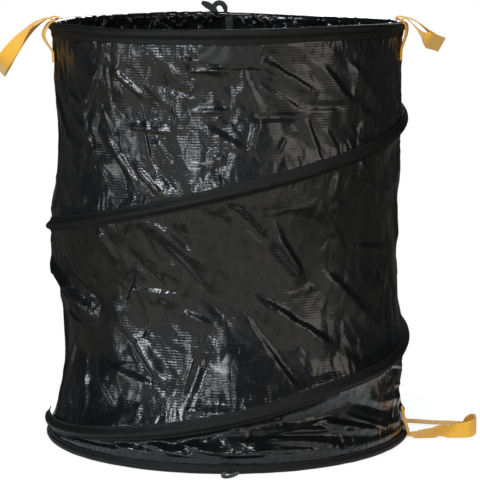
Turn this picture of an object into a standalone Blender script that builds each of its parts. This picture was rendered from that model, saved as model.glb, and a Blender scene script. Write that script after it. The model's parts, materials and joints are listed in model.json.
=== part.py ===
"""Pop up leaf bag: a spiral spring bag of woven sheet with a closed floor, an open
mouth and three webbing handles.

Metres, +Z up. The origin is on the floor at the middle of the base. +X points to
the side with the dump handle, -Y to the front, where the label is.
"""
import math

import bmesh
import bpy
from mathutils import Vector

# Overall sizes
bag_height = 0.658
base_radius = 0.2845
rim_radius = 0.2735
fit_gap = 0.0003
columns = 40

# Wall panel
panel_thickness = 0.0010
wall_bottom = 0.0125
wall_below_rim = 0.0145
sag_share = 0.15
sag_rows = 4
band_share = 0.3
run_in_deg = 36.0

# Steel wires
wire_radius = 0.0019
wire_seat = 0.0007
ferrule_wall = 0.0008
ferrule_length = 0.024
cap_wall = 0.0008
cap_length = 0.014
cap_end = 0.0012
cap_inset = 0.005

# Tapes
tape_thickness = 0.0008
lip_gap = 0.0004
hem_mouth_deg = 40.0

# Top hem
top_hem_height = 0.0220
top_hem_round = 0.0068
hem_offset = 0.0005

# Bottom hem
bottom_hem_height = 0.0165
bottom_hem_round = 0.0058
foot_flat = 0.0005

# Spiral sleeve and its wire
spiral_start_deg = 180.0
spiral_columns = 77
spiral_ease_deg = 80.0
sleeve_base_gap = 0.0007
sleeve_rim_gap = 0.0010
sleeve_above = 0.0125
sleeve_below = 0.0098
sleeve_lip = 0.0028
sleeve_proud = 0.0088

# Floor panel
floor_thickness = 0.0010
floor_turn_up = 0.0100

# Webbing handles
webbing_width = 0.025
webbing_thickness = 0.0016
handle_spacing = 0.100
grip_bend = 0.007
flat_share = 0.35
turning_share = 0.5
tab_clearance = 0.0006
top_tab_length = 0.062
top_tab_sewn = 0.016

left_reach = 0.074
left_drop = 0.069
left_rise = 0.018
left_bulge = 0.0085
left_bulge_drop = 0.021

right_reach = 0.070
right_drop = 0.050
right_rise = 0.015
right_bulge = 0.0050
right_bulge_drop = 0.016

dump_reach = 0.106
dump_tab_height = 0.050
dump_tab_sewn = 0.018
dump_hinge_height = 0.0042
floor_clearance = 0.0010

# Label
label_width = 0.084
label_height = 0.026
label_thickness = 0.0008
label_below_hem = 0.0015
label_clearance = 0.0007

# Closure pieces
cord_radius = 0.0032
cord_foot_radius = 0.0019
cord_taper = 0.007
crown_share = 0.75
top_loop_width = 0.0215
top_loop_height = 0.0150
top_loop_centre = -0.0150
tail_length = 0.022
tail_width = 0.0085
tail_thickness = 0.0024
tail_gap = 0.0020
tail_lean_share = 0.5
tail_rise_share = 0.85
tail_width_shares = [0.7, 0.85, 1.0, 1.0, 0.9, 0.7, 0.4]
inside_strap_width = 0.012
inside_strap_length = 0.042
inside_strap_centre = -0.0015
bottom_loop_width = 0.0190
bottom_loop_reach = 0.0250
bottom_loop_lean = 0.0120
bottom_loop_centre = 0.0080

# Colour, roughness and metallic value of each finish
black_sheet = ((0.020, 0.021, 0.023), 0.28, 0.0)
black_tape = ((0.016, 0.016, 0.017), 0.75, 0.0)
black_label = ((0.022, 0.022, 0.022), 0.60, 0.0)
orange_webbing = ((0.80, 0.38, 0.045), 0.70, 0.0)
black_elastic = ((0.030, 0.031, 0.028), 0.80, 0.0)
spring_steel = ((0.55, 0.55, 0.56), 0.35, 1.0)
crimp_steel = ((0.62, 0.62, 0.63), 0.30, 1.0)
black_plastic = ((0.030, 0.030, 0.032), 0.45, 0.0)

full_turn = 360.0
smooth_below_deg = 50.0
up = Vector((0.0, 0.0, 1.0))


def clear_scene():
    """Remove whatever the file opened with."""
    for item in list(bpy.data.objects):
        bpy.data.objects.remove(item, do_unlink=True)


def material_for(name, finish):
    """A plain Principled material with the piece's colour, roughness and metallic value."""
    colour, roughness, metallic = finish
    material = bpy.data.materials.new(name)
    material.use_nodes = True
    shader = material.node_tree.nodes["Principled BSDF"]
    shader.inputs["Base Color"].default_value = (*colour, 1.0)
    shader.inputs["Roughness"].default_value = roughness
    shader.inputs["Metallic"].default_value = metallic
    return material


def add_piece(name, builder, finish, joint=None):
    """Turn a bmesh into a named object, with its origin on its joint when it moves."""
    bmesh.ops.recalc_face_normals(builder, faces=builder.faces)
    if joint is not None:
        bmesh.ops.translate(builder, verts=builder.verts, vec=-joint)
    mesh = bpy.data.meshes.new(name)
    builder.to_mesh(mesh)
    builder.free()
    mesh.shade_smooth()
    mesh.set_sharp_from_angle(angle=math.radians(smooth_below_deg))
    mesh.materials.append(material_for(name, finish))
    piece = bpy.data.objects.new(name, mesh)
    if joint is not None:
        piece.location = joint
    bpy.context.scene.collection.objects.link(piece)
    return piece


def loft(rings, closed_path):
    """Join rings of points, all of one length, into a closed body."""
    builder = bmesh.new()
    rows = [[builder.verts.new(point) for point in ring] for ring in rings]
    count = len(rows[0])
    spans = list(zip(rows, rows[1:]))
    if closed_path:
        spans.append((rows[-1], rows[0]))
    for near, far in spans:
        for index in range(count):
            after = (index + 1) % count
            builder.faces.new((near[index], near[after], far[after], far[index]))
    if not closed_path:
        builder.faces.new(list(reversed(rows[0])))
        builder.faces.new(rows[-1])
    return builder


def around_axis(azimuth, radius, height):
    """The point at an azimuth, a radius and a height."""
    return Vector((radius * math.cos(azimuth), radius * math.sin(azimuth), height))


def column_azimuth(index):
    """Azimuth of a column of the round pieces. Column 0 is where the spiral starts."""
    return math.radians(spiral_start_deg) + index * math.tau / columns


def turned(section):
    """Turn a closed section of (radius, height) points round the bag's axis."""
    rings = [[around_axis(column_azimuth(i), r, z) for r, z in section] for i in range(columns)]
    return loft(rings, closed_path=True)


def arc(centre, radius, start_deg, end_deg, count):
    """Points on an arc in a section plane."""
    points = []
    for step in range(count):
        angle = math.radians(start_deg + (end_deg - start_deg) * step / (count - 1))
        points.append((centre[0] + radius * math.cos(angle), centre[1] + radius * math.sin(angle)))
    return points


def wall_radius(height):
    """Radius of the middle of the wall panel where a hem or the sleeve holds it."""
    return base_radius + (rim_radius - base_radius) * height / bag_height


def spiral_height(sweep_deg):
    """Height of the sleeve's middle line, eased at its start on the base hem and its end below the rim's."""
    low = bottom_hem_height + sleeve_base_gap + sleeve_below
    high = bag_height - top_hem_height - sleeve_rim_gap - sleeve_above
    sweep_end = spiral_columns * full_turn / columns
    slope = (high - low) / (sweep_end - spiral_ease_deg)
    done = min(max(sweep_deg, 0.0), sweep_end)
    left = sweep_end - done
    if done < spiral_ease_deg:
        return low + slope * done ** 2 / (2.0 * spiral_ease_deg)
    if left < spiral_ease_deg:
        return high - slope * left ** 2 / (2.0 * spiral_ease_deg)
    return low + slope * (done - spiral_ease_deg / 2.0)


def holding_line(sweep_deg):
    """Height of the wall's row behind the sleeve. It runs into both edges at its ends."""
    top = bag_height - wall_below_rim
    start = min(max(sweep_deg / run_in_deg, 0.0), 1.0)
    end = min(max((2.0 * full_turn - sweep_deg) / run_in_deg, 0.0), 1.0)
    height = wall_bottom + (spiral_height(sweep_deg) - wall_bottom) * start
    return top + (height - top) * end


def wall_rows(index):
    """Height and radius of each wall row on one column, or None where a gap has closed.

    A column crosses three gaps: base to first turn, first to second turn, second turn to
    rim. In each the cloth stays on its line behind the sleeve and sags inward between, more
    near the base, where its slack gathers.
    """
    sweep = index * full_turn / columns
    top = bag_height - wall_below_rim
    limits = [wall_bottom, holding_line(sweep), holding_line(sweep + full_turn), top]
    rows = []
    for low, high in zip(limits, limits[1:]):
        gap = high - low
        if gap < fit_gap:
            rows += [None] * (sag_rows + 3)
            continue
        low_band = min(sleeve_above + fit_gap, gap * band_share)
        high_band = min(sleeve_below + fit_gap, gap * band_share)
        slack_share = sag_share * (1.0 - (low + high) / 2.0 / bag_height)
        depth = slack_share * max(gap - sleeve_above - sleeve_below, 0.0)
        rows.append((low, wall_radius(low)))
        for row in range(sag_rows + 2):
            share = row / (sag_rows + 1)
            height = low + low_band + (gap - low_band - high_band) * share
            rows.append((height, wall_radius(height) - depth * math.sin(math.pi * share)))
    rows.append((top, wall_radius(top)))
    return rows


def wall_faces(azimuth, height):
    """Radii that clear the wall's inner and outer face at an azimuth and a height."""
    position = (azimuth - math.radians(spiral_start_deg)) % math.tau * columns / math.tau
    near = int(position) % columns
    radii = []
    for index in (near, (near + 1) % columns):
        rows = [row for row in wall_rows(index) if row is not None]
        for (low, low_r), (high, high_r) in zip(rows, rows[1:]):
            if low <= height <= high:
                share = (height - low) / (high - low)
                radii.append(low_r + (high_r - low_r) * share)
    radii = radii or [wall_radius(height)]
    facet = math.cos(math.pi / columns)
    return min(radii) * facet - panel_thickness / 2.0, max(radii) + panel_thickness / 2.0


def wall_panel():
    """The woven panel: a spiral strip, closed to a tube.

    The strip's rows follow the sleeve. After each turn its lower rows meet the upper rows
    of the turn before, and it runs out to a point at the base and at the rim.
    """
    per_gap = sag_rows + 3
    last_row = 3 * per_gap
    half = panel_thickness / 2.0
    builder = bmesh.new()
    faces_of = {"outer": half, "inner": -half}
    vertices = {}
    for index in range(columns):
        for row, entry in enumerate(wall_rows(index)):
            if entry is None:
                continue
            for side, shift in faces_of.items():
                point = around_axis(column_azimuth(index), entry[1] + shift, entry[0])
                vertices[side, index, row] = builder.verts.new(point)

    def vertex(side, index, row):
        """The vertex at a column and row. Past the last column the rows move up one gap."""
        if index == columns:
            index = 0
            row = row + per_gap
        row = min(row, last_row)
        while (side, index, row) not in vertices:
            row += 1
        return vertices[side, index, row]

    for index in range(columns):
        for side in faces_of:
            for row in range(last_row):
                corners = []
                for column, level in ((index, row), (index + 1, row), (index + 1, row + 1), (index, row + 1)):
                    corner = vertex(side, column, level)
                    if corner not in corners:
                        corners.append(corner)
                if len(corners) > 2:
                    builder.faces.new(corners)
        for row in (0, last_row):
            builder.faces.new((vertex("outer", index, row), vertex("outer", index + 1, row),
                               vertex("inner", index + 1, row), vertex("inner", index, row)))
    return builder


def folded_hem(edge, direction, height, round_radius):
    """Section of a tape folded over a ring wire, with two lips that hold the wall's edge.

    edge is the height of the rounded side, and direction points from there to the lips.
    """
    middle = wall_radius(edge + direction * height)
    slot = panel_thickness / 2.0 + lip_gap
    centre = (wall_radius(edge) + hem_offset, edge + direction * round_radius)
    lip = edge + direction * height
    neck = edge + direction * (2.0 * round_radius + tape_thickness)
    start = hem_mouth_deg * direction
    end = (-180.0 - hem_mouth_deg) * direction
    section = [(middle + slot + tape_thickness, lip), (middle + slot + tape_thickness, neck)]
    section += arc(centre, round_radius, start, end, 9)
    section += [(middle - slot - tape_thickness, neck), (middle - slot - tape_thickness, lip)]
    section += [(middle - slot, lip), (middle - slot, neck)]
    section += arc(centre, round_radius - tape_thickness, end, start, 6)
    section += [(middle + slot, neck), (middle + slot, lip)]
    return section


def wire_depth():
    """Distance from a hem's rounded edge to the middle of the ring wire in it."""
    return tape_thickness + wire_seat + ferrule_wall + fit_gap + wire_radius


def wire_curve(name, points, cyclic):
    """A spring wire as a round bevelled curve with filled ends."""
    curve = bpy.data.curves.new(name, "CURVE")
    curve.dimensions = "3D"
    curve.bevel_depth = wire_radius
    curve.bevel_resolution = 1
    curve.use_fill_caps = True
    spline = curve.splines.new("POLY")
    spline.points.add(len(points) - 1)
    for knot, point in zip(spline.points, points):
        knot.co = (*point, 1.0)
    spline.use_cyclic_u = cyclic
    curve.materials.append(material_for(name, spring_steel))
    wire = bpy.data.objects.new(name, curve)
    bpy.context.scene.collection.objects.link(wire)
    return wire


def ring_points(radius, height):
    """Points of a hoop, one on each column."""
    return [around_axis(column_azimuth(index), radius, height) for index in range(columns)]


def cross_axes(direction):
    """Two unit vectors square to a direction."""
    first = direction.cross(up).normalized()
    return first, direction.cross(first).normalized()


def disc_ring(centre, axes, radius, count):
    """A ring of points round a centre."""
    ring = []
    for step in range(count):
        angle = math.tau * step / count
        ring.append(centre + axes[0] * (radius * math.cos(angle)) + axes[1] * (radius * math.sin(angle)))
    return ring


def ferrule(start, end):
    """A crimped tube round the middle of the straight from start to end."""
    along = (end - start).normalized()
    middle = (start + end) / 2.0
    axes = cross_axes(along)
    bore = wire_radius + fit_gap
    low = middle - along * (ferrule_length / 2.0)
    high = middle + along * (ferrule_length / 2.0)
    sides = 10
    rings = [disc_ring(low, axes, bore, sides), disc_ring(low, axes, bore + ferrule_wall, sides),
             disc_ring(high, axes, bore + ferrule_wall, sides), disc_ring(high, axes, bore, sides)]
    return loft(rings, closed_path=True)


def end_cap(closed_end, along):
    """A cup that covers a wire's end. along points from its closed end to its mouth."""
    axes = cross_axes(along)
    bore = wire_radius + fit_gap
    mouth = closed_end + along * cap_length
    sides = 10
    rings = [disc_ring(closed_end, axes, bore + cap_wall, sides), disc_ring(mouth, axes, bore + cap_wall, sides),
             disc_ring(mouth, axes, bore, sides), disc_ring(closed_end + along * cap_end, axes, bore, sides)]
    return loft(rings, closed_path=False)


def casing_radius():
    """Inside radius of the sleeve where it wraps over the wire and its end caps."""
    return wire_radius + fit_gap + cap_wall + 2.0 * fit_gap


def casing_centre():
    """Distance of the spiral wire's middle from the wall's outer face."""
    return sleeve_proud - tape_thickness - casing_radius()


def tangent_angle(point, centre, radius, turn):
    """Angle on a circle of the tangent from a point, on the side that turn gives, in degrees."""
    dx = point[0] - centre[0]
    dz = point[1] - centre[1]
    base = math.atan2(dz, dx)
    return math.degrees(base + turn * math.acos(radius / math.hypot(dx, dz)))


def sleeve_section():
    """Section of the sleeve: (distance off the wall, height from its middle line).

    One tape with its two lips flat on the wall, drawn tight over the wire between them.
    """
    centre = (casing_centre(), 0.0)
    inside = casing_radius()
    seat = fit_gap
    back = seat + tape_thickness
    nose = 6
    top_out = (back, sleeve_above - sleeve_lip)
    low_out = (back, sleeve_lip - sleeve_below)
    top_in = (seat, sleeve_above - sleeve_lip - tape_thickness / 2.0)
    low_in = (seat, sleeve_lip - sleeve_below + tape_thickness / 2.0)
    outer = arc(centre, inside + tape_thickness,
                tangent_angle(top_out, centre, inside + tape_thickness, -1.0),
                tangent_angle(low_out, centre, inside + tape_thickness, 1.0), nose)
    inner = arc(centre, inside, tangent_angle(low_in, centre, inside, 1.0),
                tangent_angle(top_in, centre, inside, -1.0), nose - 1)
    section = [(back, sleeve_above), top_out, *outer, low_out, (back, -sleeve_below)]
    section += [(seat, -sleeve_below), low_in, *inner, top_in, (seat, sleeve_above)]
    return section


def spiral_point(index, off_wall, rise):
    """A point on the spiral: its column, its distance off the wall and its height off the middle line."""
    height = spiral_height(index * full_turn / columns) + rise
    return around_axis(column_azimuth(index), wall_radius(height) + panel_thickness / 2.0 + off_wall, height)


def spiral_sleeve():
    """The sleeve's section carried along the spiral, one ring on each column."""
    section = sleeve_section()
    rings = [[spiral_point(index, a, b) for a, b in section] for index in range(spiral_columns + 1)]
    return loft(rings, closed_path=False)


def spiral_wire_points():
    """The spring's middle line, with its ends drawn back inside the caps."""
    points = [spiral_point(index, casing_centre(), 0.0) for index in range(spiral_columns + 1)]
    inset = cap_inset + cap_end + fit_gap
    points[0] += (points[1] - points[0]).normalized() * inset
    points[-1] += (points[-2] - points[-1]).normalized() * inset
    return points


def report_spring_gap(points):
    """Print the least gap between the spring's turns, measured on its points."""
    half_turn = columns // 2
    least = min((a - b).length for i, a in enumerate(points) for b in points[i + half_turn:])
    print("least gap between the spring's turns, mm:", round((least - 2.0 * wire_radius) * 1000.0, 1))


def smooth_path(points, per_span):
    """A Catmull-Rom curve through the points."""
    padded = [points[0] * 2.0 - points[1], *points, points[-1] * 2.0 - points[-2]]
    path = []
    for index in range(1, len(padded) - 2):
        p0, p1, p2, p3 = padded[index - 1:index + 3]
        for step in range(per_span):
            t = step / per_span
            path.append(0.5 * (2.0 * p1 + (p2 - p0) * t + (2.0 * p0 - 5.0 * p1 + 4.0 * p2 - p3) * t ** 2
                               + (3.0 * p1 - p0 - 3.0 * p2 + p3) * t ** 3))
    path.append(points[-1].copy())
    return path


def bezier(p0, p1, p2, p3, count):
    """Points on one cubic Bezier span."""
    points = []
    for step in range(count):
        t = step / (count - 1)
        s = 1.0 - t
        points.append(s ** 3 * p0 + 3.0 * s * s * t * p1 + 3.0 * s * t * t * p2 + t ** 3 * p3)
    return points


def ribbon(path, sides, widths, thickness):
    """A flat strip along a path. Each side vector gives the direction of its width."""
    rings = []
    edge = thickness / 2.0
    for index, point in enumerate(path):
        before = path[max(index - 1, 0)]
        after = path[min(index + 1, len(path) - 1)]
        along = (after - before).normalized()
        side = sides[index]
        side = (side - along * side.dot(along)).normalized()
        normal = along.cross(side)
        half = widths[index] / 2.0
        section = [(-half, 0.0), (edge - half, -edge), (half - edge, -edge),
                   (half, 0.0), (half - edge, edge), (edge - half, edge)]
        rings.append([point + side * a + normal * b for a, b in section])
    return loft(rings, closed_path=False)


def round_cord(path, radii):
    """A cord of changing radius along a path, with its ends rounded off."""
    rings = []
    sides = 8
    end_shares = [(0.95, 0.31), (0.6, 0.8)]
    first = (path[1] - path[0]).normalized()
    last = (path[-1] - path[-2]).normalized()
    axes = cross_axes(first) if abs(first.z) < 0.9 else (Vector((1.0, 0.0, 0.0)), Vector((0.0, 1.0, 0.0)))
    guide = axes[0]
    for back_share, radius_share in end_shares:
        centre = path[0] - first * (radii[0] * back_share)
        side = (guide - first * guide.dot(first)).normalized()
        rings.append(disc_ring(centre, (side, first.cross(side)), radii[0] * radius_share, sides))
    for index, point in enumerate(path):
        before = path[max(index - 1, 0)]
        after = path[min(index + 1, len(path) - 1)]
        along = (after - before).normalized()
        guide = (guide - along * guide.dot(along)).normalized()
        rings.append(disc_ring(point, (guide, along.cross(guide)), radii[index], sides))
    for back_share, radius_share in reversed(end_shares):
        centre = path[-1] + last * (radii[-1] * back_share)
        guide = (guide - last * guide.dot(last)).normalized()
        rings.append(disc_ring(centre, (guide, last.cross(guide)), radii[-1] * radius_share, sides))
    return loft(rings, closed_path=False)


def loop_path(hinge, outward, start, knee, end):
    """Path and width directions of a handle loop, from one sewn end round the grip to the other.

    start, knee and end are places in the plane across the hem, as (outward, upward) from the
    hinge line. Each strand turns by a quarter as it runs out, so that the grip lies square.
    """
    across = up.cross(outward)
    offset = across * (handle_spacing / 2.0)

    def place(pair):
        return hinge + outward * pair[0] + up * pair[1]

    strand = bezier(hinge, place(start), place(knee), place(end), 11)
    run = (place(end) - place(knee)).normalized()
    square = up - run * up.dot(run)
    square.normalize()
    path = []
    sides = []
    for index, point in enumerate(strand):
        share = min(max((index / (len(strand) - 1) - flat_share) / turning_share, 0.0), 1.0)
        turn = math.pi / 2.0 * share * share * (3.0 - 2.0 * share)
        path.append(point - offset)
        sides.append(across * math.cos(turn) + square * math.sin(turn))
    corner = 4
    for step in range(1, corner + 1):
        angle = math.pi / 2.0 * step / corner
        shift = run * (grip_bend * math.sin(angle)) + across * (grip_bend * (1.0 - math.cos(angle)))
        path.append(strand[-1] - offset + shift)
        sides.append(square.copy())
    mirrored = [(point - across * (2.0 * (point - hinge).dot(across)), side - across * (2.0 * side.dot(across)))
                for point, side in zip(path, sides)]
    for point, side in reversed(mirrored):
        path.append(point)
        sides.append(side)
    return path, sides


def lift_to_floor(path, sides):
    """Raise each station so that the strip's lowest edge clears the floor."""
    lifted = []
    for point, side in zip(path, sides):
        reach = abs(side.z) * webbing_width / 2.0 + webbing_thickness / 2.0
        lifted.append(Vector((point.x, point.y, max(point.z, reach + floor_clearance))))
    return lifted


def add_loop(name, hinge, outward, start, knee, end, on_floor=False):
    """One handle loop, with its origin on its hinge line."""
    path, sides = loop_path(hinge, outward, start, knee, end)
    if on_floor:
        path = lift_to_floor(path, sides)
    widths = [webbing_width] * len(path)
    return add_piece(name, ribbon(path, sides, widths, webbing_thickness), orange_webbing, joint=hinge)


def slant(radius):
    """How far a strand's edge stands nearer its tab than its middle, as the two lie askew."""
    return webbing_width / 2.0 * handle_spacing / 2.0 / radius


def tab_azimuth(outward, side, radius):
    """Azimuth of a handle's sewn end, on the side (-1 or 1) of the handle's middle."""
    return math.atan2(outward.y, outward.x) + side * math.asin(handle_spacing / 2.0 / radius)


def add_tab(name, azimuth, outline):
    """A handle's sewn end: webbing along (radius, height) points, its width round the bag.

    It lies straight on the wall between the first two points and curves from there on.
    """
    knots = [around_axis(azimuth, r, z) for r, z in outline]
    path = knots[:1] + smooth_path(knots[1:], 4)
    sides = [up.cross(around_axis(azimuth, 1.0, 0.0))] * len(path)
    widths = [webbing_width] * len(path)
    return add_piece(name, ribbon(path, sides, widths, webbing_thickness), orange_webbing)


def on_wall(azimuth, height):
    """Radius of a strip of webbing that lies on the wall."""
    return wall_faces(azimuth, height)[1] + tab_clearance + webbing_thickness / 2.0


def top_handle(side_name, outward, reach, drop, rise, bulge, bulge_drop):
    """A handle at the rim: two sewn ends that bow off the hem, and the loop between them."""
    ring = rim_radius + hem_offset
    half_sheet = webbing_thickness / 2.0
    hinge_height = bag_height + half_sheet + fit_gap
    hinge_out = math.sqrt(ring ** 2 - (handle_spacing / 2.0) ** 2) - slant(ring)
    hinge = outward * hinge_out + up * hinge_height
    hem_outside = ring + top_hem_round
    low = bag_height - top_tab_length
    for side, place in ((-1.0, "front"), (1.0, "rear")):
        azimuth = tab_azimuth(outward, side if outward.x > 0.0 else -side, ring)
        outline = [(on_wall(azimuth, low), low),
                   (on_wall(azimuth, low + top_tab_sewn), low + top_tab_sewn),
                   (hem_outside + bulge + half_sheet, bag_height - bulge_drop),
                   (hem_outside + tab_clearance + half_sheet, bag_height - top_hem_round / 2.0),
                   (ring + webbing_thickness + fit_gap, hinge_height)]
        add_tab(f"{side_name}_handle_{place}_tab", azimuth, outline)
    add_loop(f"{side_name}_handle_loop", hinge, outward, (0.0, rise), (reach / 2.0, rise / 3.0), (reach, -drop))


def dump_handle():
    """The handle at the base: sewn over the bottom hem, with its loop out along the floor."""
    outward = Vector((1.0, 0.0, 0.0))
    half_sheet = webbing_thickness / 2.0
    hem_outside = base_radius + hem_offset + bottom_hem_round
    tab_radius = hem_outside + tab_clearance + half_sheet
    hinge_radius = tab_radius + webbing_thickness + fit_gap + slant(tab_radius)
    hinge = outward * math.sqrt(hinge_radius ** 2 - (handle_spacing / 2.0) ** 2) + up * dump_hinge_height
    low = dump_hinge_height - half_sheet
    for side, place in ((-1.0, "front"), (1.0, "rear")):
        azimuth = tab_azimuth(outward, side, hinge_radius)
        sewn_low = dump_tab_height - dump_tab_sewn
        outline = [(on_wall(azimuth, dump_tab_height), dump_tab_height),
                   (on_wall(azimuth, sewn_low), sewn_low),
                   (tab_radius, bottom_hem_height / 2.0),
                   (tab_radius, low)]
        add_tab(f"dump_handle_{place}_tab", azimuth, outline)
    lift = webbing_width / 2.0 - dump_hinge_height
    add_loop("dump_handle_loop", hinge, outward, (dump_reach / 3.0, 0.0), (dump_reach / 2.0, lift),
             (dump_reach, lift), on_floor=True)


def label_patch():
    """The label: a thin patch bent round the wall under the front of the top hem."""
    front = math.radians(270.0)
    high = bag_height - top_hem_height - label_below_hem
    half_angle = label_width / 2.0 / rim_radius
    steps = 4
    azimuths = [front - half_angle, front, front + half_angle]
    rings = []
    for azimuth in azimuths:
        inside = []
        outside = []
        for step in range(steps + 1):
            height = high - label_height * step / steps
            seat = wall_faces(azimuth, height)[1] + label_clearance
            facet = math.radians(full_turn / columns)
            from_front = abs(azimuth - front)
            seat *= math.cos(facet / 2.0) / math.cos(facet / 2.0 - from_front)
            inside.append(around_axis(azimuth, seat, height))
            outside.append(around_axis(azimuth, seat + label_thickness, height))
        rings.append(inside + list(reversed(outside)))
    return loft(rings, closed_path=False)


def floor_panel():
    """The floor: a round sheet turned up at its edge inside the bottom hem."""
    outside = wall_radius(0.0) + hem_offset - bottom_hem_round - 2.0 * fit_gap
    inside = outside - floor_thickness
    profile = [(outside, 0.0), (outside, floor_turn_up), (inside, floor_turn_up), (inside, floor_thickness)]
    return loft([ring_points(r, z) for r, z in profile], closed_path=False)


def bottom_hem_section():
    """The bottom hem's section, cut flat where it stands on the floor."""
    section = folded_hem(-foot_flat, 1.0, bottom_hem_height, bottom_hem_round)
    return [(r, max(z, 0.0)) for r, z in section]


def cord_radii(path):
    """Radii along a loop of cord, thinner at the two ends where it is sewn down."""
    radii = []
    for index in range(len(path)):
        from_start = sum((b - a).length for a, b in zip(path[:index], path[1:index + 1]))
        from_end = sum((b - a).length for a, b in zip(path[index:], path[index + 1:]))
        share = min(min(from_start, from_end) / cord_taper, 1.0)
        radii.append(cord_foot_radius + (cord_radius - cord_foot_radius) * share)
    return radii


def top_closure():
    """The elastic loop and its flat tail at the rear of the rim, and the strap end inside."""
    rear = rim_radius + hem_offset
    hinge = Vector((0.0, rear, bag_height + cord_foot_radius + fit_gap))
    left = hinge + Vector((top_loop_centre - top_loop_width / 2.0, 0.0, 0.0))
    right = hinge + Vector((top_loop_centre + top_loop_width / 2.0, 0.0, 0.0))
    crown = up * (top_loop_height / crown_share)
    path = bezier(right, right + crown, left + crown, left, 12)
    add_piece("top_closure_loop", round_cord(path, cord_radii(path)), black_elastic, joint=hinge)

    root_width = tail_width * tail_width_shares[0]
    root = left + Vector((-cord_radius - tail_gap - root_width / 2.0, 0.0, -cord_foot_radius))
    rise = Vector((-tail_length * tail_lean_share, 0.0, tail_length * tail_rise_share))
    widths = [tail_width * share for share in tail_width_shares]
    path = bezier(root, root + up * (tail_length / 3.0), root + rise / 2.0, root + rise, len(widths))
    sides = [Vector((1.0, 0.0, 0.0))] * len(path)
    add_piece("top_closure_tail", ribbon(path, sides, widths, tail_thickness), black_elastic, joint=hinge)

    azimuth = math.radians(90.0) - inside_strap_centre / rim_radius
    half_sheet = webbing_thickness / 2.0
    inset = tab_clearance + half_sheet + inside_strap_width / 2.0 * math.tan(math.pi / columns)
    on_hem = rear - top_hem_round - inset
    lip = wall_radius(bag_height - top_hem_height) - panel_thickness / 2.0 - lip_gap - tape_thickness
    low = bag_height - inside_strap_length
    on_wall_inside = min(lip, wall_faces(azimuth, low)[0]) - inset
    outline = [(on_hem, bag_height - top_hem_round / 2.0), (on_hem, bag_height - top_hem_round * 1.5),
               (lip - inset, bag_height - top_hem_height), (on_wall_inside, low)]
    strip = smooth_path([around_axis(azimuth, r, z) for r, z in outline], 4)
    sides = [Vector((1.0, 0.0, 0.0))] * len(strip)
    widths = [inside_strap_width] * len(strip)
    add_piece("closure_strap_inside", ribbon(strip, sides, widths, webbing_thickness), black_elastic)


def bottom_closure():
    """The loop at the front of the base that the rim's loop hooks on to."""
    front = base_radius + hem_offset + bottom_hem_round
    hinge = Vector((0.0, -front - cord_foot_radius - fit_gap, cord_radius + floor_clearance))
    left = hinge + Vector((bottom_loop_centre - bottom_loop_width / 2.0, 0.0, 0.0))
    right = hinge + Vector((bottom_loop_centre + bottom_loop_width / 2.0, 0.0, 0.0))
    nose = Vector((-bottom_loop_lean, -bottom_loop_reach / crown_share, 0.0))
    path = bezier(left, left + nose, right + nose, right, 12)
    add_piece("bottom_closure_loop", round_cord(path, cord_radii(path)), black_elastic, joint=hinge)


def build():
    """Build every piece of the bag."""
    clear_scene()
    add_piece("base_disc", floor_panel(), black_sheet)
    add_piece("bottom_hem", turned(bottom_hem_section()), black_tape)
    add_piece("wall_panel", wall_panel(), black_sheet)
    add_piece("top_hem", turned(folded_hem(bag_height, -1.0, top_hem_height, top_hem_round)), black_tape)
    add_piece("spiral_sleeve", spiral_sleeve(), black_tape)

    spring = spiral_wire_points()
    wire_curve("spiral_wire", spring, cyclic=False)
    report_spring_gap(spring)
    start_run = (spring[1] - spring[0]).normalized()
    end_run = (spring[-2] - spring[-1]).normalized()
    cap_back = cap_end + fit_gap
    add_piece("wire_end_cap_bottom", end_cap(spring[0] - start_run * cap_back, start_run), black_plastic)
    add_piece("wire_end_cap_top", end_cap(spring[-1] - end_run * cap_back, end_run), black_plastic)

    low_ring = ring_points(wall_radius(0.0) + hem_offset, wire_depth() - foot_flat)
    high_ring = ring_points(rim_radius + hem_offset, bag_height - wire_depth())
    wire_curve("bottom_ring_wire", low_ring, cyclic=True)
    wire_curve("top_ring_wire", high_ring, cyclic=True)
    rear_column = columns * 3 // 4
    add_piece("bottom_ring_ferrule", ferrule(low_ring[rear_column], low_ring[rear_column + 1]), crimp_steel)
    add_piece("top_ring_ferrule", ferrule(high_ring[rear_column], high_ring[rear_column + 1]), crimp_steel)

    left = Vector((-1.0, 0.0, 0.0))
    right = Vector((1.0, 0.0, 0.0))
    top_handle("left", left, left_reach, left_drop, left_rise, left_bulge, left_bulge_drop)
    top_handle("right", right, right_reach, right_drop, right_rise, right_bulge, right_bulge_drop)
    dump_handle()
    add_piece("label_patch", label_patch(), black_label)
    top_closure()
    bottom_closure()


build()
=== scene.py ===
# %% [markdown]
# # A pop up leaf bag, dressed for its photograph
# The bag is a tube of glossy black woven sheet. Two hoops and one long spiral of spring steel hold it
# open, each sewn inside a tape. Orange webbing makes two handles at the rim and a third at the base for
# tipping the bag out. The solids of every piece are loaded first and stay where they are: this lesson
# puts cloth, tape, webbing and thread over them, in metres, in the same frame.

# %% Load the solids
import json
import math

import bmesh
import bpy
import numpy as np
from mathutils import Matrix, Vector
from mathutils.geometry import delaunay_2d_cdt

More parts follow.
